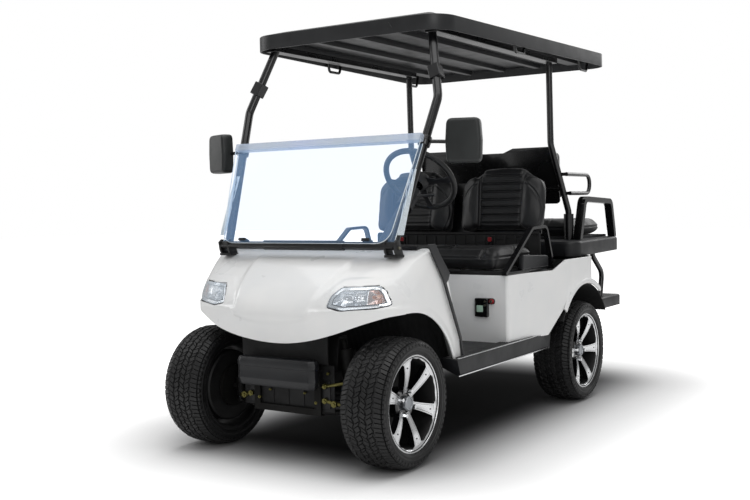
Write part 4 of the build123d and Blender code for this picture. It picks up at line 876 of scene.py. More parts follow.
def edgeDistance(outline, x, z):  # above zero inside
    nearest, inside = 1e9, False
    for (x1, z1), (x2, z2) in zip(outline, outline[1:] + outline[:1]):
        run = hypot(x2 - x1, z2 - z1)
        t = min(1, max(0, ((x - x1) * (x2 - x1) + (z - z1) * (z2 - z1)) / (run * run)))
        nearest = min(nearest, hypot(x - x1 - t * (x2 - x1), z - z1 - t * (z2 - z1)))
        if (z1 > z) != (z2 > z) and x < (x2 - x1) * (z - z1) / (z2 - z1) + x1:
            inside = not inside
    return nearest if inside else -nearest


def rimGap(outline, f):  # the same at a face's middle
    spot = f.calc_center_median()
    return edgeDistance(outline, spot.x, spot.z)


def cutAlong(bm, outline, patch, reach):
    # cuts the patch's faces along an outline of (x, z), seen from the front
    for (x1, z1), (x2, z2) in zip(outline, outline[1:] + outline[:1]):
        run = hypot(x2 - x1, z2 - z1)
        close = []
        for f in patch:
            spot = f.calc_center_median()
            along = ((spot.x - x1) * (x2 - x1) + (spot.z - z1) * (z2 - z1)) / run
            away = abs((spot.x - x1) * (z2 - z1) - (spot.z - z1) * (x2 - x1)) / run
            if away < reach and -reach * 0.6 < along < run + reach * 0.6:
                close.append(f)
        geom = close + list({e for f in close for e in f.edges}) + list({v for f in close for v in f.verts})
        spot, across = (x1, 0, z1), (z2 - z1, 0, x1 - x2)
        done = bmesh.ops.bisect_plane(bm, geom=geom, dist=0.0005, plane_co=spot, plane_no=across)["geom"]
        patch = {f for f in patch if f.is_valid} | {g for g in done if isinstance(g, bmesh.types.BMFace)}
    return patch


lampEdge = roundedCorners(lampSpec["outline"], lampSpec["cornerRadius"])


def cowlMesh(bm):
    columns, rows = cowlSpec["columns"], cowlSpec["rows"]
    heart = Vector(cowlSpec["heart"])
    ends = []
    for column in range(columns + 1):  # the grid runs from one rear foot to the other
        t = min(column, columns - column) / (columns / 2)
        side = Vector((1 if column <= columns / 2 else -1, 1, 1))
        ends.append([((edge(t) - heart) * side).normalized() for edge in (lowerEdge, upperEdge)])
    for v in bmesh.ops.create_grid(bm, x_segments=columns, y_segments=rows, size=1.0)["verts"]:
        low, high = ends[round((v.co.x + 1) / 2 * columns)]
        spot = onCowl(low.slerp(high, round((v.co.y + 1) / 2 * rows) / rows))
        v.co = spot + cowlSlope(spot) * (cowlRelief(*spot) - cowlSpec["inside"])
    for side in (1, -1):
        ring = [(x * side, z) for x, z in drawnIn(lampEdge, -lampSpec["gap"])]
        patch = {f for f in bm.faces if f.calc_center_median().y < 60 and rimGap(ring, f) > -25}
        patch = cutAlong(bm, ring, patch, 9)
        for v in {v for f in patch for v in f.verts}:
            for repeat in range(2):
                v.co -= cowlSlope(v.co) * skinGap(*v.co)
        bmesh.ops.delete(bm, geom=[f for f in patch if rimGap(ring, f) > 0], context="FACES")
    toMetres(bm)


def walled(made, thickness, offset):  # gives a sheet its thickness in mm, inwards or outwards
    wall = made.modifiers.new("wall", "SOLIDIFY")
    wall.thickness = thickness / 1000
    wall.offset = offset


bm = bmesh.new()
cowlMesh(bm)
bmesh.ops.recalc_face_normals(bm, faces=bm.faces)
cowlSkin = piece("cowl_skin", bm, "chassis", [bodyWhite], ["cowl"], 60)
walled(cowlSkin, cowlSpec["wall"], -1)
softEdge = cowlSkin.modifiers.new("softEdge", "BEVEL")
softEdge.width = cowlSpec["rim"] / 1000
softEdge.segments = 2
softEdge.limit_method = "ANGLE"
softEdge.angle_limit = radians(60)
print("cowl made")

# seats: each pad is drawn about its own origin in mm, swelled as cloth, sewn, and carried to its place
clothSpec = {
    "quality": 4, "mass": 0.4, "tension_stiffness": 22, "compression_stiffness": 22, "bending_stiffness": 3.0,
    "use_pressure": True, "uniform_pressure_force": 4.0,
}
lastFrame = 20
frontBackSpec = {
    "body": "chassis", "node": "front_backrests", "voxel": 6, "cap": 14, "fill": 0.75,
    "finishes": [seatVinyl, pipingGrey], "middle": 268, "frontY": 1362, "lowZ": 905, "rake": 9,
    "slab": (
        (-222, 6), (222, 6), (230, 60), (230, 246), (198, 298), (106, 356), (-106, 356), (-198, 298),
        (-230, 246), (-230, 60)),
    "wing": ((132, 10), (226, 10), (234, 60), (234, 254), (202, 296), (150, 318), (126, 256), (120, 60)),
    "edge": 116, "edgeSpread": 8, "foot": (20, 44), "head": (296, 316),
    "channels": (52, 94, 136, 178, 220, 262, 304), "piping": 2.4, "pipingWidth": 3.0,
    "ring": (60, 110, 172), "ringFrom": 16,
}
rearBackSpec = {
    "body": "chassis", "node": "rear_backrests", "voxel": 7, "cap": 12, "fill": 0.8, "finishes": [seatVinyl],
    "middle": 216.5, "frontY": 1828, "lowZ": 1050, "rake": -11.68, "channels": (76, 144, 212), "sideY": 26,
}
frontBenchSpec = {
    "body": "front_seat", "node": "front_cushion", "voxel": 8, "cap": 14, "fill": 0.75,
    "finishes": [seatVinyl, threadAndHighlight], "middle": 0, "frontY": 1330, "lowZ": 736, "rake": 0,
    "seatMiddle": 238, "seatHalf": 168, "rearSeam": -92,
    "front": (-466, -440), "back": (-40, -20), "channels": (-372, -300, -228, -156), "sideZ": 62,
}
rearBenchSpec = {
    "body": "rear_seat", "node": "rear_cushion", "voxel": 8, "cap": 12, "fill": 0.8, "finishes": [seatVinyl],
    "middle": 0, "frontY": 1935, "lowZ": 846, "rake": 0, "channels": (150, 290), "front": (40, 60),
    "back": (430, 450), "sideZ": 62,
}
pads = []


def softBox(bm, low, high, radius, lean=None):
    # a rounded block; lean is (a turn about Y in degrees, about this point)
    made = bmesh.ops.create_cube(bm, size=1.0)["verts"]
    for v in made:
        v.co = Vector([(low[i], high[i])[v.co[i] > 0] for i in range(3)])
    done = eased(bm, edgesOf(made), radius, 4)
    if lean:
        verts = list({v for v in made if v.is_valid} | {v for f in done["faces"] for v in f.verts})
        bmesh.ops.rotate(bm, cent=lean[1], matrix=Matrix.Rotation(radians(lean[0]), 3, "Y"), verts=verts)


def slab(bm, outline, front, back, radius):  # a rounded block of any outline (x, z)
    loops = [[bm.verts.new((x, y, z)) for x, z in outline] for y in (front, back)]
    for k in range(len(outline)):
        bm.faces.new((loops[0][k], loops[0][k - 1], loops[1][k - 1], loops[1][k]))
    bm.faces.new(loops[0])
    bm.faces.new(list(reversed(loops[1])))
    verts = loops[0] + loops[1]
    bmesh.ops.recalc_face_normals(bm, faces=facesOf(verts))
    eased(bm, edgesOf(verts), radius, 4)


def applied(made):
    evaluated = made.evaluated_get(bpy.context.evaluated_depsgraph_get())
    mesh = bpy.data.meshes.new_from_object(evaluated)
    old = made.data
    made.modifiers.clear()
    made.data = mesh
    bpy.data.meshes.remove(old)


def padded(name, spec, side, draw, relief):
    # draw makes the starting form, and relief sews it after it swells
    bm = bmesh.new()
    draw(bm)
    millimetres(bm)
    mesh = bpy.data.meshes.new(name)
    bm.to_mesh(mesh)
    bm.free()
    made = bpy.data.objects.new(name, mesh)
    scene.collection.objects.link(made)
    remesh = made.modifiers.new("remesh", "REMESH")
    remesh.mode = "VOXEL"
    remesh.voxel_size = spec["voxel"] / 1000
    smooth = made.modifiers.new("smooth", "SMOOTH")
    smooth.iterations = 6
    applied(made)
    start = [v.co.copy() for v in made.data.vertices]
    pads.append({"made": made, "start": start, "place": placed(spec, side), "relief": relief, **spec})
    cloth = made.modifiers.new("cloth", "CLOTH")
    for key, value in clothSpec.items():
        setattr(cloth.settings, key, value)
    cloth.settings.effector_weights.gravity = 0
    cloth.collision_settings.use_collision = False
    cloth.point_cache.frame_start = 1
    cloth.point_cache.frame_end = lastFrame


def placed(spec, side):  # leans a pad and carries it to its seat
    turn = radians(spec["rake"])

    def place(p):
        y, z = p.y * cos(turn) + p.z * sin(turn), p.z * cos(turn) - p.y * sin(turn)
        return at(side * spec["middle"] + p.x, spec["frontY"] + y, spec["lowZ"] + z)
    return place


def sewn():  # runs the cloth, caps how far it moved, sews the seams, and hands each pad over
    for number in range(1, lastFrame + 1):
        scene.frame_set(number)
    for pad in pads:
        made = pad["made"]
        applied(made)
        limit = pad["cap"] / 1000
        for v, start in zip(made.data.vertices, pad["start"]):
            move = v.co - start
            if move.length > limit:
                v.co = start + move.normalized() * limit
        finer = made.modifiers.new("finer", "SUBSURF")
        finer.levels = 1
        finer.render_levels = 1
        applied(made)
        bm = bmesh.new()
        bm.from_mesh(made.data)
        bm.normal_update()
        for v in bm.verts:
            v.co += v.normal * (pad["relief"](v.co * 1000, v.normal) / 1000)
        for f in bm.faces:
            # the band takes the second finish: piping on the backrests, a thread line with a painted
            # highlight on the bench
            bandShown = len(pad["finishes"]) > 1 and pad["relief"](f.calc_center_median() * 1000, f.normal, True)
            f.material_index = 1 if bandShown else 0
            f.smooth = True
        for v in bm.verts:
            v.co = pad["place"](v.co * 1000)
        bm.normal_update()
        if bm.calc_volume(signed=True) < 0:
            bmesh.ops.reverse_faces(bm, faces=bm.faces)
        bm.to_mesh(made.data)
        bm.free()
        made.data.materials.clear()
        for finish in pad["finishes"]:
            made.data.materials.append(finish)
        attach(made, pad["body"])
        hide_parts(pad["node"])
    scene.frame_set(1)


def seam(distance, width, depth):  # a stitched groove: deep at the line, with a slight roll beside it
    return -depth * hump(distance, width) + 0.35 * depth * hump(abs(distance) - 2.2 * width, 1.2 * width)


def sideSeam(distance, facing, depth=4.0):  # the same round the sides alone
    return seam(distance, 4, depth) * smoothStep(0.3, 0.7, 1 - abs(facing))


def frontBack(bm):  # bucket backrest: a slab with bolsters standing forward, X across, Y back, Z up
    slab(bm, frontBackSpec["slab"], 34, 92, 24)
    for side in (1, -1):
        outline = [(side * x, z) for x, z in frontBackSpec["wing"]]
        slab(bm, outline[::side], 6, 74, 26)
    softBox(bm, (-128, 26, 290), (128, 80, 354), 26)


def frontBackRelief(p, normal, band=False):  # with band, whether the piping, or the thread line with its painted highlight, shows there
    spec = frontBackSpec
    a = abs(p.x)
    edge = spec["edge"] + spec["edgeSpread"] * smoothStep(0, 300, p.z)
    if band:
        return normal.y < -0.2 and abs(a - edge) < 2.6 and 26 < p.z < 306
    if normal.y > 0.35:
        return 0.0
    deep = seam(a - edge, 4.5, 6.0) + spec["piping"] * hump(a - edge, spec["pipingWidth"])
    deep *= smoothStep(*spec["foot"], p.z) * fade(*spec["head"], p.z)
    deep += sum(seam(p.z - z, 4.5, 5.0) for z in spec["channels"]) * fade(edge - 12, edge, a)
    x, z, radius = spec["ring"]
    return deep + (seam(hypot(a - x, p.z - z) - radius, 3.5, 3.0) if a > edge + spec["ringFrom"] else 0)


def frontBench(bm):  # two seats with a hump between and bolsters at the ends
    softBox(bm, (-500, -456, 16), (500, -16, 74), 24)
    softBox(bm, (-498, -458, 18), (498, -374, 88), 33)
    for side in (1, -1):
        near, far = sorted((side * 418, side * 500))
        softBox(bm, (near, -440, 20), (far, -30, 101), 30, (side * 5, (side * 462, -200, 60)))
    softBox(bm, (-52, -448, 20), (52, -24, 92), 26)
    softBox(bm, (-470, -96, 20), (470, -12, 92), 26)


def frontBenchRelief(p, normal, band=False):
    spec = frontBenchSpec
    outer = abs(abs(p.x) - spec["seatMiddle"])
    half = spec["seatHalf"]
    # the band: the grey seam line on each bolster edge, thread with a painted highlight
    if band:
        return normal.z > 0.1 and abs(outer - half) < 2.4 and p.y > -452
    if normal.z < -0.3:
        return 0.0
    deep = sideSeam(p.z - spec["sideZ"], normal.z)
    if normal.z > 0.2:
        deep += seam(outer - half, 5, 6.5) * smoothStep(*spec["front"], p.y) * fade(*spec["back"], p.y)
        deep += sum(seam(p.y - y, 5, 4.5) for y in spec["channels"]) * fade(half - 16, half - 2, outer)
        deep += seam(p.y - spec["rearSeam"], 5, 5) * fade(half - 8, half + 2, outer)
    return deep


def rearBench(bm):
    softBox(bm, (-442, 20, 28), (442, 474, 88), 26)
    softBox(bm, (-436, 28, 34), (436, 466, 99), 32)


def rearBenchRelief(p, normal):
    spec = rearBenchSpec
    deep = sideSeam(p.z - spec["sideZ"], normal.z)
    if normal.z > 0.3:
        across = sum(seam(abs(p.x) - x, 5, 4) for x in spec["channels"])
        deep += seam(p.x, 5, 6) + across * smoothStep(*spec["front"], p.y) * fade(*spec["back"], p.y)
    return deep


def rearBack(bm):
    softBox(bm, (-206, 10, 14), (206, 88, 280), 26)
    softBox(bm, (-190, 20, 26), (190, 94, 268), 30)


def rearBackRelief(p, normal):
    spec = rearBackSpec
    deep = sideSeam(p.y - spec["sideY"], normal.y, 3.5)
    if normal.y > 0.3:
        deep += sum(seam(p.z - z, 5, 4.5) for z in spec["channels"]) * fade(166, 186, abs(p.x))
    return deep


for side, word in ((1, "left"), (-1, "right")):
    padded("front_back_" + word, frontBackSpec, side, frontBack, frontBackRelief)
    padded("rear_back_" + word, rearBackSpec, side, rearBack, rearBackRelief)
padded("front_bench", frontBenchSpec, 1, frontBench, frontBenchRelief)
padded("rear_bench", rearBenchSpec, 1, rearBench, rearBenchRelief)
sewn()
print("seats sewn:", len(pads))


# headlights: drawn on the left in mm, then mirrored
def lampPatch(step, outline):  # a flat grid over the lamp, cut to an outline
    bm = bmesh.new()
    (x, z), (wide, tall) = lampSpec["middle"], lampSpec["halfSize"]
    bmesh.ops.create_grid(bm, x_segments=round(2 * wide / step), y_segments=round(2 * tall / step), size=1.0)
    for v in bm.verts:
        v.co = Vector((x + v.co.x * wide, 0, z + v.co.y * tall))
    cutAlong(bm, outline, set(bm.faces), step * 2)
    bmesh.ops.delete(bm, geom=[f for f in bm.faces if rimGap(outline, f) < 0], context="FACES")
    return bm


def lensMesh():
    bm = lampPatch(lampSpec["lensStep"], lampEdge)
    for v in bm.verts:
        rim = edgeDistance(lampEdge, v.co.x, v.co.z)
        v.co.y = skinAt(v.co.x, v.co.z) - 0.8 + 2.4 * fade(0, 7, rim)
    return bm


def reflectorMesh():  # a silver band, a dark line, then two fluted bowls with a wall between them
    spec = lampSpec
    first, second = spec["band"], spec["band"] + spec["line"]
    bm = lampPatch(spec["bowlStep"], drawnIn(lampEdge, 1.5))
    for inset in (first, second):
        cutAlong(bm, drawnIn(lampEdge, inset), set(bm.faces), 6)
    left, right = spec["split"]
    shallow, deep, reach = spec["bowl"]
    flute, wave = spec["flutes"]
    for v in bm.verts:
        x, z = v.co.x, v.co.z
        rim = edgeDistance(lampEdge, x, z)
        depth = 17 if rim > first + 0.2 else 6 + 0.25 * rim
        if rim > second - 0.2:
            bowl = min(rim - second, max(left - x, x - right))
            depth = shallow + deep * (1 - (1 - min(1.0, max(0.0, bowl) / reach)) ** 2)
            depth += flute * sin(x / wave * tau) * smoothStep(4, 14, bowl)
        v.co.y = skinAt(x, z, depth)
    for f in bm.faces:
        rim = rimGap(lampEdge, f)
        f.material_index = 1 if first < rim < second else 0
        if f.calc_center_median().x > right and rim > second:
            f.material_index = 2
    return bm


def bulbMesh(x, z, radius):  # a round-nosed bulb in its socket, looking forward
    bm = bmesh.new()
    turns = [radians(a) for a in range(18, 91, 18)]
    nose = [(0.01, 0)] + [(radius * (1 - cos(a)), radius * sin(a)) for a in turns]
    body = [(radius * 1.9, radius * 0.92), (radius * 2.1, radius * 0.7), (38, radius * 0.66), (38, 0.01)]
    turned(bm, [(depth, max(r, 0.01)) for depth, r in nose + body], 24, 0, False)
    place = Matrix.Translation((x, skinAt(x, z, 13), z)) @ Matrix.Rotation(pi / 2, 4, "Z")
    bmesh.ops.transform(bm, matrix=place, verts=bm.verts)
    bmesh.ops.remove_doubles(bm, verts=bm.verts, dist=0.05)
    return bm


def bucketMesh():  # the dark housing: its rim shows as a line round the lens
    bm = bmesh.new()
    rim = drawnIn(lampEdge, lampSpec["bucketRim"] - lampSpec["gap"])
    rings = []
    for inset, depth in lampSpec["bucket"]:
        rings.append([(x, skinAt(x, z, depth), z) for x, z in drawnIn(rim, inset)])
    loftRings(bm, rings, 0, (-1,))
    return bm


def lampPiece(name, bm, finishes, crease=40, closed=False):
    toMetres(bm)
    mirrorX(bm)
    if closed:
        cleaned(bm)
    return piece(name, bm, "chassis", finishes, ["headlights"], crease)


walled(lampPiece("headlight_lens", lensMesh(), [lampLens], 60), lampSpec["lensWall"], 1)
lampPiece("headlight_reflector", reflectorMesh(), [chrome, linerPlastic, signalReflector])
lampPiece("headlight_bulb", bulbMesh(*lampSpec["mainBulb"]), [chrome], closed=True)
lampPiece("signal_bulb", bulbMesh(*lampSpec["signalBulb"]), [amber], closed=True)
lampPiece("headlight_bucket", bucketMesh(), [linerPlastic], closed=True)
print("headlights made")

# windshield
paneSpec = {
    "faceY": 37.4, "lowZ": 900, "rake": 22.47, "height": 459.9, "lowX": 457, "topX": 503, "thick": 5,
    "fold": 22, "bend": 78, "corner": 9, "polish": 1.3, "upperFoot": (14, -8),
    "clipX": 330, "clipHalf": 19, "clipDepths": (-3, 31), "clipHeights": (4, 16),
    "ears": ((414, 424), (462, 472)),
    "ear": ((24, 866), (16, 906), (34, 918), (56, 914), (82, 858), (78, 846), (40, 846)),
    "bolt": (443, 44, 884), "foot": ((410, 30, 845), (476, 82, 856)), "ribs": 6, "ribX": 462, "ribStep": 5.2,
    "ribWide": 2.6,
}


def onPane(x, depth, height):  # depth is measured forward from the lower pane's rear face
    turn = radians(paneSpec["rake"])
    y = paneSpec["faceY"] - depth * cos(turn) + height * sin(turn)
    return at(x, y, paneSpec["lowZ"] + height * cos(turn) + depth * sin(turn))


def paneMesh(corners, radii, depth):  # a sheet cut from corner points, its rim polished and painted pale as a highlight
    bm = bmesh.new()
    outline = roundedCorners(corners, radii, 8)
    made = loftRings(bm, [[onPane(x, d, h) for x, h in outline] for d in (depth, depth + paneSpec["thick"])])
    paint(made[:-2], 1)
    bmesh.ops.recalc_face_normals(bm, faces=bm.faces)
    eased(bm, [e for f in made[-2:] for e in f.edges], paneSpec["polish"] / 1000, 2, 1)
    return bm


def crossBar(bm, halfWidth, depths, heights, radius):  # a bar right across the panes, its section rounded
    (near, far), (low, high) = depths, heights
    section = roundedCorners([(near, low), (near, high), (far, high), (far, low)], radius, 3)
    middle, half = (near + far) / 2, (low + high) / 2
    rings = []
    for x, s in ((-halfWidth, 0.8), (2 - halfWidth, 1), (halfWidth - 2, 1), (halfWidth, 0.8)):
        rings.append([onPane(x, d * s + middle * (1 - s), h * s + half * (1 - s)) for d, h in section])
    loftRings(bm, rings)


def paneBlock(bm, x, width, depths, heights):  # a small block whose one side is at x
    xs = sorted((x, x + width))
    for v in bmesh.ops.create_cube(bm, size=1.0)["verts"]:
        v.co = onPane(xs[v.co.x > 0], depths[v.co.y > 0], heights[v.co.z > 0])


spec = paneSpec
low, top, high = spec["lowX"], spec["topX"], spec["height"]
shorter, drop = spec["upperFoot"]
clear = [acrylic, acrylicEdgeHighlight]
sheet = paneMesh([(-low, 0), (-top, high), (top, high), (low, 0)], spec["corner"], 0)
piece("windshield_sheet_lower", sheet, "chassis", clear, ["windshield_lower"], 40)
folded = [(shorter - low, drop), (-top, high), (top, high), (low - shorter, drop)]
sheet = paneMesh(folded, [spec["bend"], spec["corner"], spec["corner"], spec["bend"]], spec["fold"])
piece("windshield_sheet_upper", sheet, "chassis", clear, ["windshield_upper"], 40)

bm = bmesh.new()
crossBar(bm, low + 2, (-9, 15), (-22, 6), 6)
crossBar(bm, 214, (-11, 20), (-28, 10), 8)
for side in (1, -1):
    x = side * spec["clipX"] - spec["clipHalf"]
    paneBlock(bm, x, 2 * spec["clipHalf"], spec["clipDepths"], spec["clipHeights"])
    for pair in spec["ears"]:  # two ears of the clamp
        loftRings(bm, [[at(side * x, y, z) for y, z in spec["ear"]] for x in pair])
    boxOf(bm, *spec["foot"], 0, side)
    x, y, z = spec["bolt"]
    coneOf(bm, quarterTurn(at(side * x, y, z), "Y"), 12, 0.007, 0.006, 0.072, 1)
bmesh.ops.recalc_face_normals(bm, faces=bm.faces)
bevelled(bm, [e for e in sharpEdges(bm.edges, 50) if e.calc_length() > 0.009], 1.4)
piece("windshield_base_finished", bm, "chassis", [grippingRubber, zincSteel], ["windshield_base"], 30)

bm = bmesh.new()
crossBar(bm, top - 1, (-3, 31), (high - 11, high + 21), 4)
bmesh.ops.recalc_face_normals(bm, faces=bm.faces)
piece("windshield_channel", bm, "chassis", [clearChannel], ["windshield_hinge"], 30)
bm = bmesh.new()
for side in (1, -1):  # ribbed strips where the panes lie on the pillars, painted pale like the panes' edge highlight
    for k in range(spec["ribs"]):
        x = side * (spec["ribX"] + k * spec["ribStep"])
        paneBlock(bm, x, side * spec["ribWide"], (-3.2, -0.4), (40, 330))
bmesh.ops.recalc_face_normals(bm, faces=bm.faces)
piece("windshield_pads", bm, "chassis", [acrylicEdgeHighlight], ["windshield_lower"], 30)
print("windshield made")

# steering wheel: drawn in mm with its axis along X and its downward direction along Z, then leaned
steerSpec = {
    "ring": 166.5, "grip": 13.3, "gripSides": 28, "seam": 0.7, "lean": 41, "middle": (282, 545, 1172),
    "hub": ((-40, 30), (-26, 46), (-12, 51), (-2, 52), (3, 50), (6, 46)),
    "cap": ((6, 46), (7, 38), (4, 37), (4, 36), (9, 33), (14, 22), (16, 9), (16, 0.5)),
    "spokeTurns": (0, 90, 180), "spoke": (  # how far out, half width, half thickness, place along the axis
        (38, 25, 6, -12), (52, 22, 6, -13), (78, 16, 5.2, -14), (106, 13, 5, -14), (134, 14, 5, -12),
        (152, 17, 5, -8), (161, 20, 5, -4)),
}
spec = steerSpec
bm = bmesh.new()
grip = []
for k in range(spec["gripSides"]):
    a = tau * k / spec["gripSides"]
    r = spec["grip"] - spec["seam"] * hump(abs(a - pi), 0.16)
    grip.append((r * sin(a), spec["ring"] + r * cos(a)))
turned(bm, grip, 96, 0)
turned(bm, spec["hub"], 48, 1, closed=False)
turned(bm, spec["cap"], 48, 2, closed=False)
for turn in spec["spokeTurns"]:
    rings = []
    for r, half, thick, dip in spec["spoke"]:
        corners = [(-half, -thick), (half, -thick), (half, thick), (-half, thick)]
        section = roundedCorners(corners, thick * 0.7, 3)
        ring = [Vector((dip + b * (1 - 0.35 * (a / half) ** 2), r, a)) for a, b in section]
        rings.append([Matrix.Rotation(radians(turn), 3, "X") @ p for p in ring])
    loftRings(bm, rings, 1)
millimetres(bm)
lean = radians(spec["lean"])
axis, across, down = Vector((0, cos(lean), sin(lean))), Vector((1, 0, 0)), Vector((0, sin(lean), -cos(lean)))
wheelAt = Matrix.Translation(at(*spec["middle"])) @ Matrix((axis, across, down)).transposed().to_4x4()
bmesh.ops.transform(bm, matrix=wheelAt, verts=bm.verts)
cleaned(bm)
coats = [softGrip, grainedPlastic, panelGloss]
piece("steering_wheel_finished", bm, "steering_wheel", coats, ["steering_wheel"], 32)
print("steering wheel made")

# bumper: its plan, and at each height how far it is drawn in
bumperSpec = {
    "plan": (
        (-205, -178), (-205, -150), (-150, -120), (150, -120), (205, -150), (205, -178), (178, -196),
        (-178, -196)),
    "corners": (10, 12, 12, 12, 12, 10, 16, 16),
    "levels": (
        (436, 15), (434.5, 10), (431, 6), (420, 1.2), (417, 0), (399, 0), (396.5, 2.6), (353, 1.4), (350, 0),
        (345, 0), (330, 4), (320, 8), (316.5, 12), (316, 15)),
}
bm = bmesh.new()
stacked(bm, roundedCorners(bumperSpec["plan"], bumperSpec["corners"], 5), bumperSpec["levels"], at)
cleaned(bm)
piece("front_bumper_finished", bm, "chassis", [bumperPlastic], ["front_bumper"], 30)

# underbody: two splash panels with ribs, and the plated links and bolts in front of them
underSpec = {
    "frontPanel": ((-238, -93, 214), (238, -89, 408)), "rearPanel": ((-398, 352, 158), (398, 356, 402)),
    "frontRibs": range(-160, 161, 80), "rearRibs": range(-360, 361, 90),
    "links": (
        (((196, -99, 262), (236, -92, 252), (292, -58, 240)), 8),
        (((196, -99, 322), (242, -90, 330), (288, -56, 338)), 7)),
    "bolts": (  # place, nut radius, nut depth
        (196, -102, 262, 13, 16), (196, -102, 322, 12, 16), (238, -98, 251, 15, 12), (150, -100, 250, 8, 14),
        (92, -100, 286, 6, 10), (214, -104, 376, 7, 12)),
    "plate": ((176, -97, 228), (218, -92, 344)),
}
spec = underSpec
bm = bmesh.new()
boxOf(bm, *spec["frontPanel"])
boxOf(bm, *spec["rearPanel"])
for x in spec["frontRibs"]:
    boxOf(bm, (x - 3, -96, 226), (x + 3, -92, 400))
for x in spec["rearRibs"]:
    boxOf(bm, (x - 4, 348.5, 170), (x + 4, 352.5, 394))
bevelled(bm, bm.edges[:], 0.8, 1)
piece("splash_panels", bm, "chassis", [linerPlastic], ["frame_rails"], 30)
bm = bmesh.new()
for side in (1, -1):
    for points, radius in spec["links"]:
        tubeAlong(bm, [(side * x, y, z) for x, y, z in points], radius, 12, 0, 14)
    for x, y, z, r, deep in spec["bolts"]:
        boltAt = quarterTurn(at(side * x, y, z), "X")
        coneOf(bm, boltAt, 6, r / 1000, r / 1000, deep / 1000, 0, 1.2, 1)
        coneOf(bm, boltAt, 16, r / 1900, r / 2200, (deep + 9) / 1000, 0, 0.8, 1)
    boxOf(bm, *spec["plate"], 1, side, 1.5)
bmesh.ops.recalc_face_normals(bm, faces=bm.faces)
piece("front_links", bm, "chassis", [yellowZinc, chassisBlack], ["front_suspension"], 30)
print("bumper and underbody made")

# mirrors: the head is drawn about its own middle, glass towards Y
mirrorSpec = {
    "middle": (661, 262, 1318), "turn": 20,
    "outline": ((-72, -93), (72, -93), (76, 0), (70, 93), (-70, 93), (-76, 0)),
    "corners": (26, 26, 60, 28, 28, 60),
    "levels": (
        (-29, 16), (-28, 10), (-24, 4.5), (-15, 1), (0, 0), (20, 0), (27, 2), (29, 5), (29, 7), (24.5, 8),
        (24, 9)),
    "arm": ((494, 234, 1321), (560, 250, 1318), (640, 262, 1313)), "armRadius": 7.8,
    "clamp": (493.2, 232.7, 1321.7), "pillar": (76, 261, 631), "bands": ((42, 26.5), (18, 27)),
}
spec = mirrorSpec
for side, word in ((1, "left"), (-1, "right")):
    bm = bmesh.new()
    outline = roundedCorners(spec["outline"], spec["corners"], 6)
    stacked(bm, outline, spec["levels"], lambda x, z, y: (x, y, z))
    paint([f for f in bm.faces if f.calc_center_median().y > 23.9 and len(f.verts) > 8], 1)
    millimetres(bm)
    x, y, z = spec["middle"]
    headAt = Matrix.Translation(at(side * x, y, z)) @ Matrix.Rotation(radians(side * spec["turn"]), 4, "Z")
    bmesh.ops.transform(bm, matrix=headAt, verts=bm.verts)
    tubeAlong(bm, [(side * x, y, z) for x, y, z in spec["arm"]], spec["armRadius"], 16, 2, 24)
    (x, y, z), (leanX, leanY, leanZ) = spec["clamp"], spec["pillar"]
    along = Vector((side * leanX, leanY, leanZ)).to_track_quat("Z", "Y").to_matrix().to_4x4()
    for depth, radius in spec["bands"]:
        clampAt = Matrix.Translation(at(side * x, y, z)) @ along
        coneOf(bm, clampAt, 32, radius / 1000, radius / 1000, depth / 1000, 2, 1.5)
    bmesh.ops.recalc_face_normals(bm, faces=bm.faces)
    piece("mirror_" + word, bm, "chassis", [housingPlastic, mirrorGlass, tubeBlack], ["mirrors"], 32)
print("mirrors made")

# hip restraints: the tube frames, their panels and the rails under them
hipSpec = {
    "rounding": 2.5,
    "outline": ((1036, 729), (1352, 729), (1346, 790), (1044, 806)), "corners": (12, 14, 16, 16),
    "levels": (
        (530, 8), (531, 5), (534, 2), (539, 0), (550, 0), (555, 1.6), (558, 5), (558.6, 7), (557.6, 8),
        (557.4, 9)),
    "rail": ((534, 862, 716.5), (558, 1398, 727)),
}
softened("hip_restraints", hipSpec["rounding"], tubeBlack)
bm = bmesh.new()
for side in (1, -1):
    outline = roundedCorners(hipSpec["outline"], hipSpec["corners"], 5)
    stacked(bm, outline, hipSpec["levels"], lambda y, z, x: at(side * x, y, z))
    boxOf(bm, *hipSpec["rail"], 1, side, 2)
bmesh.ops.recalc_face_normals(bm, faces=bm.faces)
piece("hip_panels", bm, "chassis", [grainedPlastic, tubeBlack], (), 30)

# sills: a bright strip along the top outer edge, a bright foot strip along the lower outer edge that is a
# painted highlight, and ribs across the tread
sillSpec = {
    "strip": ((577, 326, 400.5), (585.8, 1292, 403)), "foot": ((580, 330, 324), (586, 1288, 330)),
    "ribs": 6, "ribX": 512, "ribStep": 11, "ribWide": 5, "ribY": (352, 1270), "ribZ": (401, 403),
}
spec = sillSpec
bm = bmesh.new()
for side in (1, -1):
    boxOf(bm, *spec["strip"], 1, side, 0.8)
    # the foot strip: bright alloy along the lower outer edge, a painted highlight
    boxOf(bm, *spec["foot"], 1, side, 1.2)
    for k in range(spec["ribs"]):
        x = spec["ribX"] + k * spec["ribStep"]
        ends = [(x + wide, spec["ribY"][i], spec["ribZ"][i]) for i, wide in enumerate((0, spec["ribWide"]))]
        boxOf(bm, *ends, 0, side, 0.7, 1)
piece("sill_strips", bm, "chassis", [grippingRubber, machinedAlloy], (), 30)

# the body's lips over the rear wheels: their section, and the turn they cover
lipSpec = {
    "section": (
        (632, 358.6), (637.5, 358.6), (640.5, 361), (641.5, 365), (640.8, 372), (638.4, 380), (634.5, 387),
        (632, 387)),
    "from": 57, "turn": 83, "steps": 48, "axle": (1665, 265),
}
bm = bmesh.new()
for side in (1, -1):
    rings = []
    y, z = lipSpec["axle"]
    for k in range(lipSpec["steps"] + 1):
        a = radians(lipSpec["from"] + lipSpec["turn"] * k / lipSpec["steps"])
        rings.append([at(side * x, y + r * cos(a), z + r * sin(a)) for x, r in lipSpec["section"]])
    loftRings(bm, rings)
bmesh.ops.recalc_face_normals(bm, faces=bm.faces)
piece("arch_lips", bm, "chassis", [bodyWhite], (), 40)

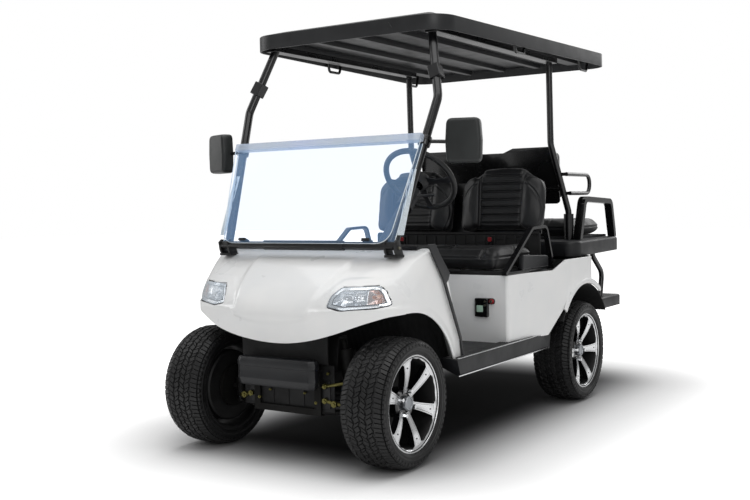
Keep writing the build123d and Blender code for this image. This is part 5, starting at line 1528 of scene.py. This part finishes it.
# control panel: plates that stand forward of the seat base, a display, two knobs and the key in its lock
controlSpec = {
    "faceY": 876,
    "plates": (  # corners, their radii, (how far forward, drawn in by), material
        (((386, 517), (456, 517), (456, 607), (386, 607)), 7,
         ((0, 0), (12, 0), (14.5, 1), (16, 3.2), (16, 5), (14.6, 6), (14.4, 8)), 0),
        (((450, 579), (488, 579), (488, 607), (450, 607)), (3, 12, 12, 3),
         ((0, 0), (3.6, 0), (5, 1.6), (5, 4)), 0),
        (((397, 541), (431, 541), (431, 573), (397, 573)), 3, ((13.6, 0), (15.2, 0.3), (15.5, 1.4)), 1)),
    "knobs": ((442, 592), (442, 574)), "knobForward": 16, "lockAt": (474, 593),
    "lock": ((4, 11), (14, 11), (16, 10.2), (16.4, 8.6)),
    "core": ((16.4, 8.6), (15, 8.2), (15, 7.4), (17.5, 6.6), (17.5, 0.4)),
    "key": (12, 2.2, 15), "keyOut": 23,
}
spec = controlSpec
face = spec["faceY"]
bm = bmesh.new()
turned(bm, spec["lock"], 32, 3, closed=False)
turned(bm, spec["core"], 32, 2, closed=False)
blade = bmesh.ops.create_cube(bm, size=1.0)["verts"]
for v in blade:
    v.co = Vector([v.co[i] * size for i, size in enumerate(spec["key"])]) + Vector((spec["keyOut"], 0, 0))
eased(bm, edgesOf(blade), 0.8, 2)
paint(facesOf([v for v in bm.verts if v.co.x > 18]), 0)
millimetres(bm)
x, z = spec["lockAt"]
bmesh.ops.transform(bm, matrix=quarterTurn(at(x, face, z), "Z", -1), verts=bm.verts)
for corners, radii, levels, finish in spec["plates"]:
    outline = roundedCorners(corners, radii, 3 if finish else 4)
    stacked(bm, outline, levels, lambda x, z, out: at(x, face - out, z), finish)
for x, z in spec["knobs"]:
    knobAt = quarterTurn(at(x, face - spec["knobForward"], z), "X")
    coneOf(bm, knobAt, 20, 0.0052, 0.0045, 0.006, 2)
cleaned(bm)
coats = [panelGloss, paleGreen, zincSteel, buckleRed]
piece("control_panel_finished", bm, "chassis", coats, ["control_panel"], 30)

# belt buckles between the cushion and each backrest: half widths and heights of the case and its button
buckleSpec = {
    "places": (250, -286), "y": 1312, "case": ((14, 838), (15, 884)), "caseCorners": (5, 5, 6, 6),
    "caseLevels": ((9, 2), (7.5, 0), (-7.5, 0), (-9, 1.6), (-9.4, 4)),
    "button": ((10.5, 858), (11, 880.5)), "buttonCorners": (3, 3, 4, 4),
    "buttonLevels": ((-8.6, 0), (-10.4, 0.4), (-11.2, 1.6), (-10.9, 4)),
    "stalk": ((1318, 842), (1326, 800), (1338, 760)), "stalkRadius": 5,
}
spec = buckleSpec
bm = bmesh.new()
for x in spec["places"]:
    for finish, part in enumerate(("case", "button")):
        (low, lowZ), (high, highZ) = spec[part]
        corners = [(x - low, lowZ), (x + low, lowZ), (x + high, highZ), (x - high, highZ)]
        outline = roundedCorners(corners, spec[part + "Corners"])
        stacked(bm, outline, spec[part + "Levels"], lambda x, z, back: at(x, spec["y"] + back, z), finish)
    tubeAlong(bm, [(x, y, z) for y, z in spec["stalk"]], spec["stalkRadius"], 10, 2, 16)
bmesh.ops.recalc_face_normals(bm, faces=bm.faces)
piece("belt_buckles", bm, "chassis", [panelGloss, buckleRed, webbing], (), 30)

# valance behind the bench: a shallow pan with ribs
valanceSpec = {
    "outline": ((-498, 764), (498, 764), (498, 904), (-498, 904)), "corner": 14, "y": 1384,
    "levels": ((6, 2), (5, 0), (-1, 0), (-3, 1), (-4, 4), (-4, 9), (-1, 12), (-1, 14)),
    "ribs": range(-420, 421, 60), "ribHalf": 4, "ribY": (1379.5, 1384), "ribZ": (780, 888),
}
spec = valanceSpec
bm = bmesh.new()
outline = roundedCorners(spec["outline"], spec["corner"])
stacked(bm, outline, spec["levels"], lambda x, z, back: at(x, spec["y"] + back, z))
for x in spec["ribs"]:
    low, high = ((x + way * spec["ribHalf"], y, z) for way, y, z in zip((-1, 1), spec["ribY"], spec["ribZ"]))
    boxOf(bm, low, high, 0, 1, 1.5)
bmesh.ops.recalc_face_normals(bm, faces=bm.faces)
piece("seat_valance", bm, "chassis", [linerPlastic], (), 30)

# roof: drain tabs at two corners, and a small triangle standing out of its front edge
tabSpec = {
    "tabs": (((-481, 378, 1866), (-448, 391, 1880)), ((578, 1974, 1866), (592, 2010, 1881))), "round": 4,
    "mark": (
        (329.2, ((246, 1824), (282, 1824), (264, 1852))), (331.5, ((243, 1821), (285, 1821), (264, 1857)))),
}
bm = bmesh.new()
for low, high in tabSpec["tabs"]:
    boxOf(bm, low, high, 0, 1, tabSpec["round"], 3)
loftRings(bm, [[at(x, y, z) for x, z in points] for y, points in tabSpec["mark"]])
bmesh.ops.recalc_face_normals(bm, faces=bm.faces)
piece("roof_tabs", bm, "chassis", [roofPlastic], (), 30)
print("small fittings made")
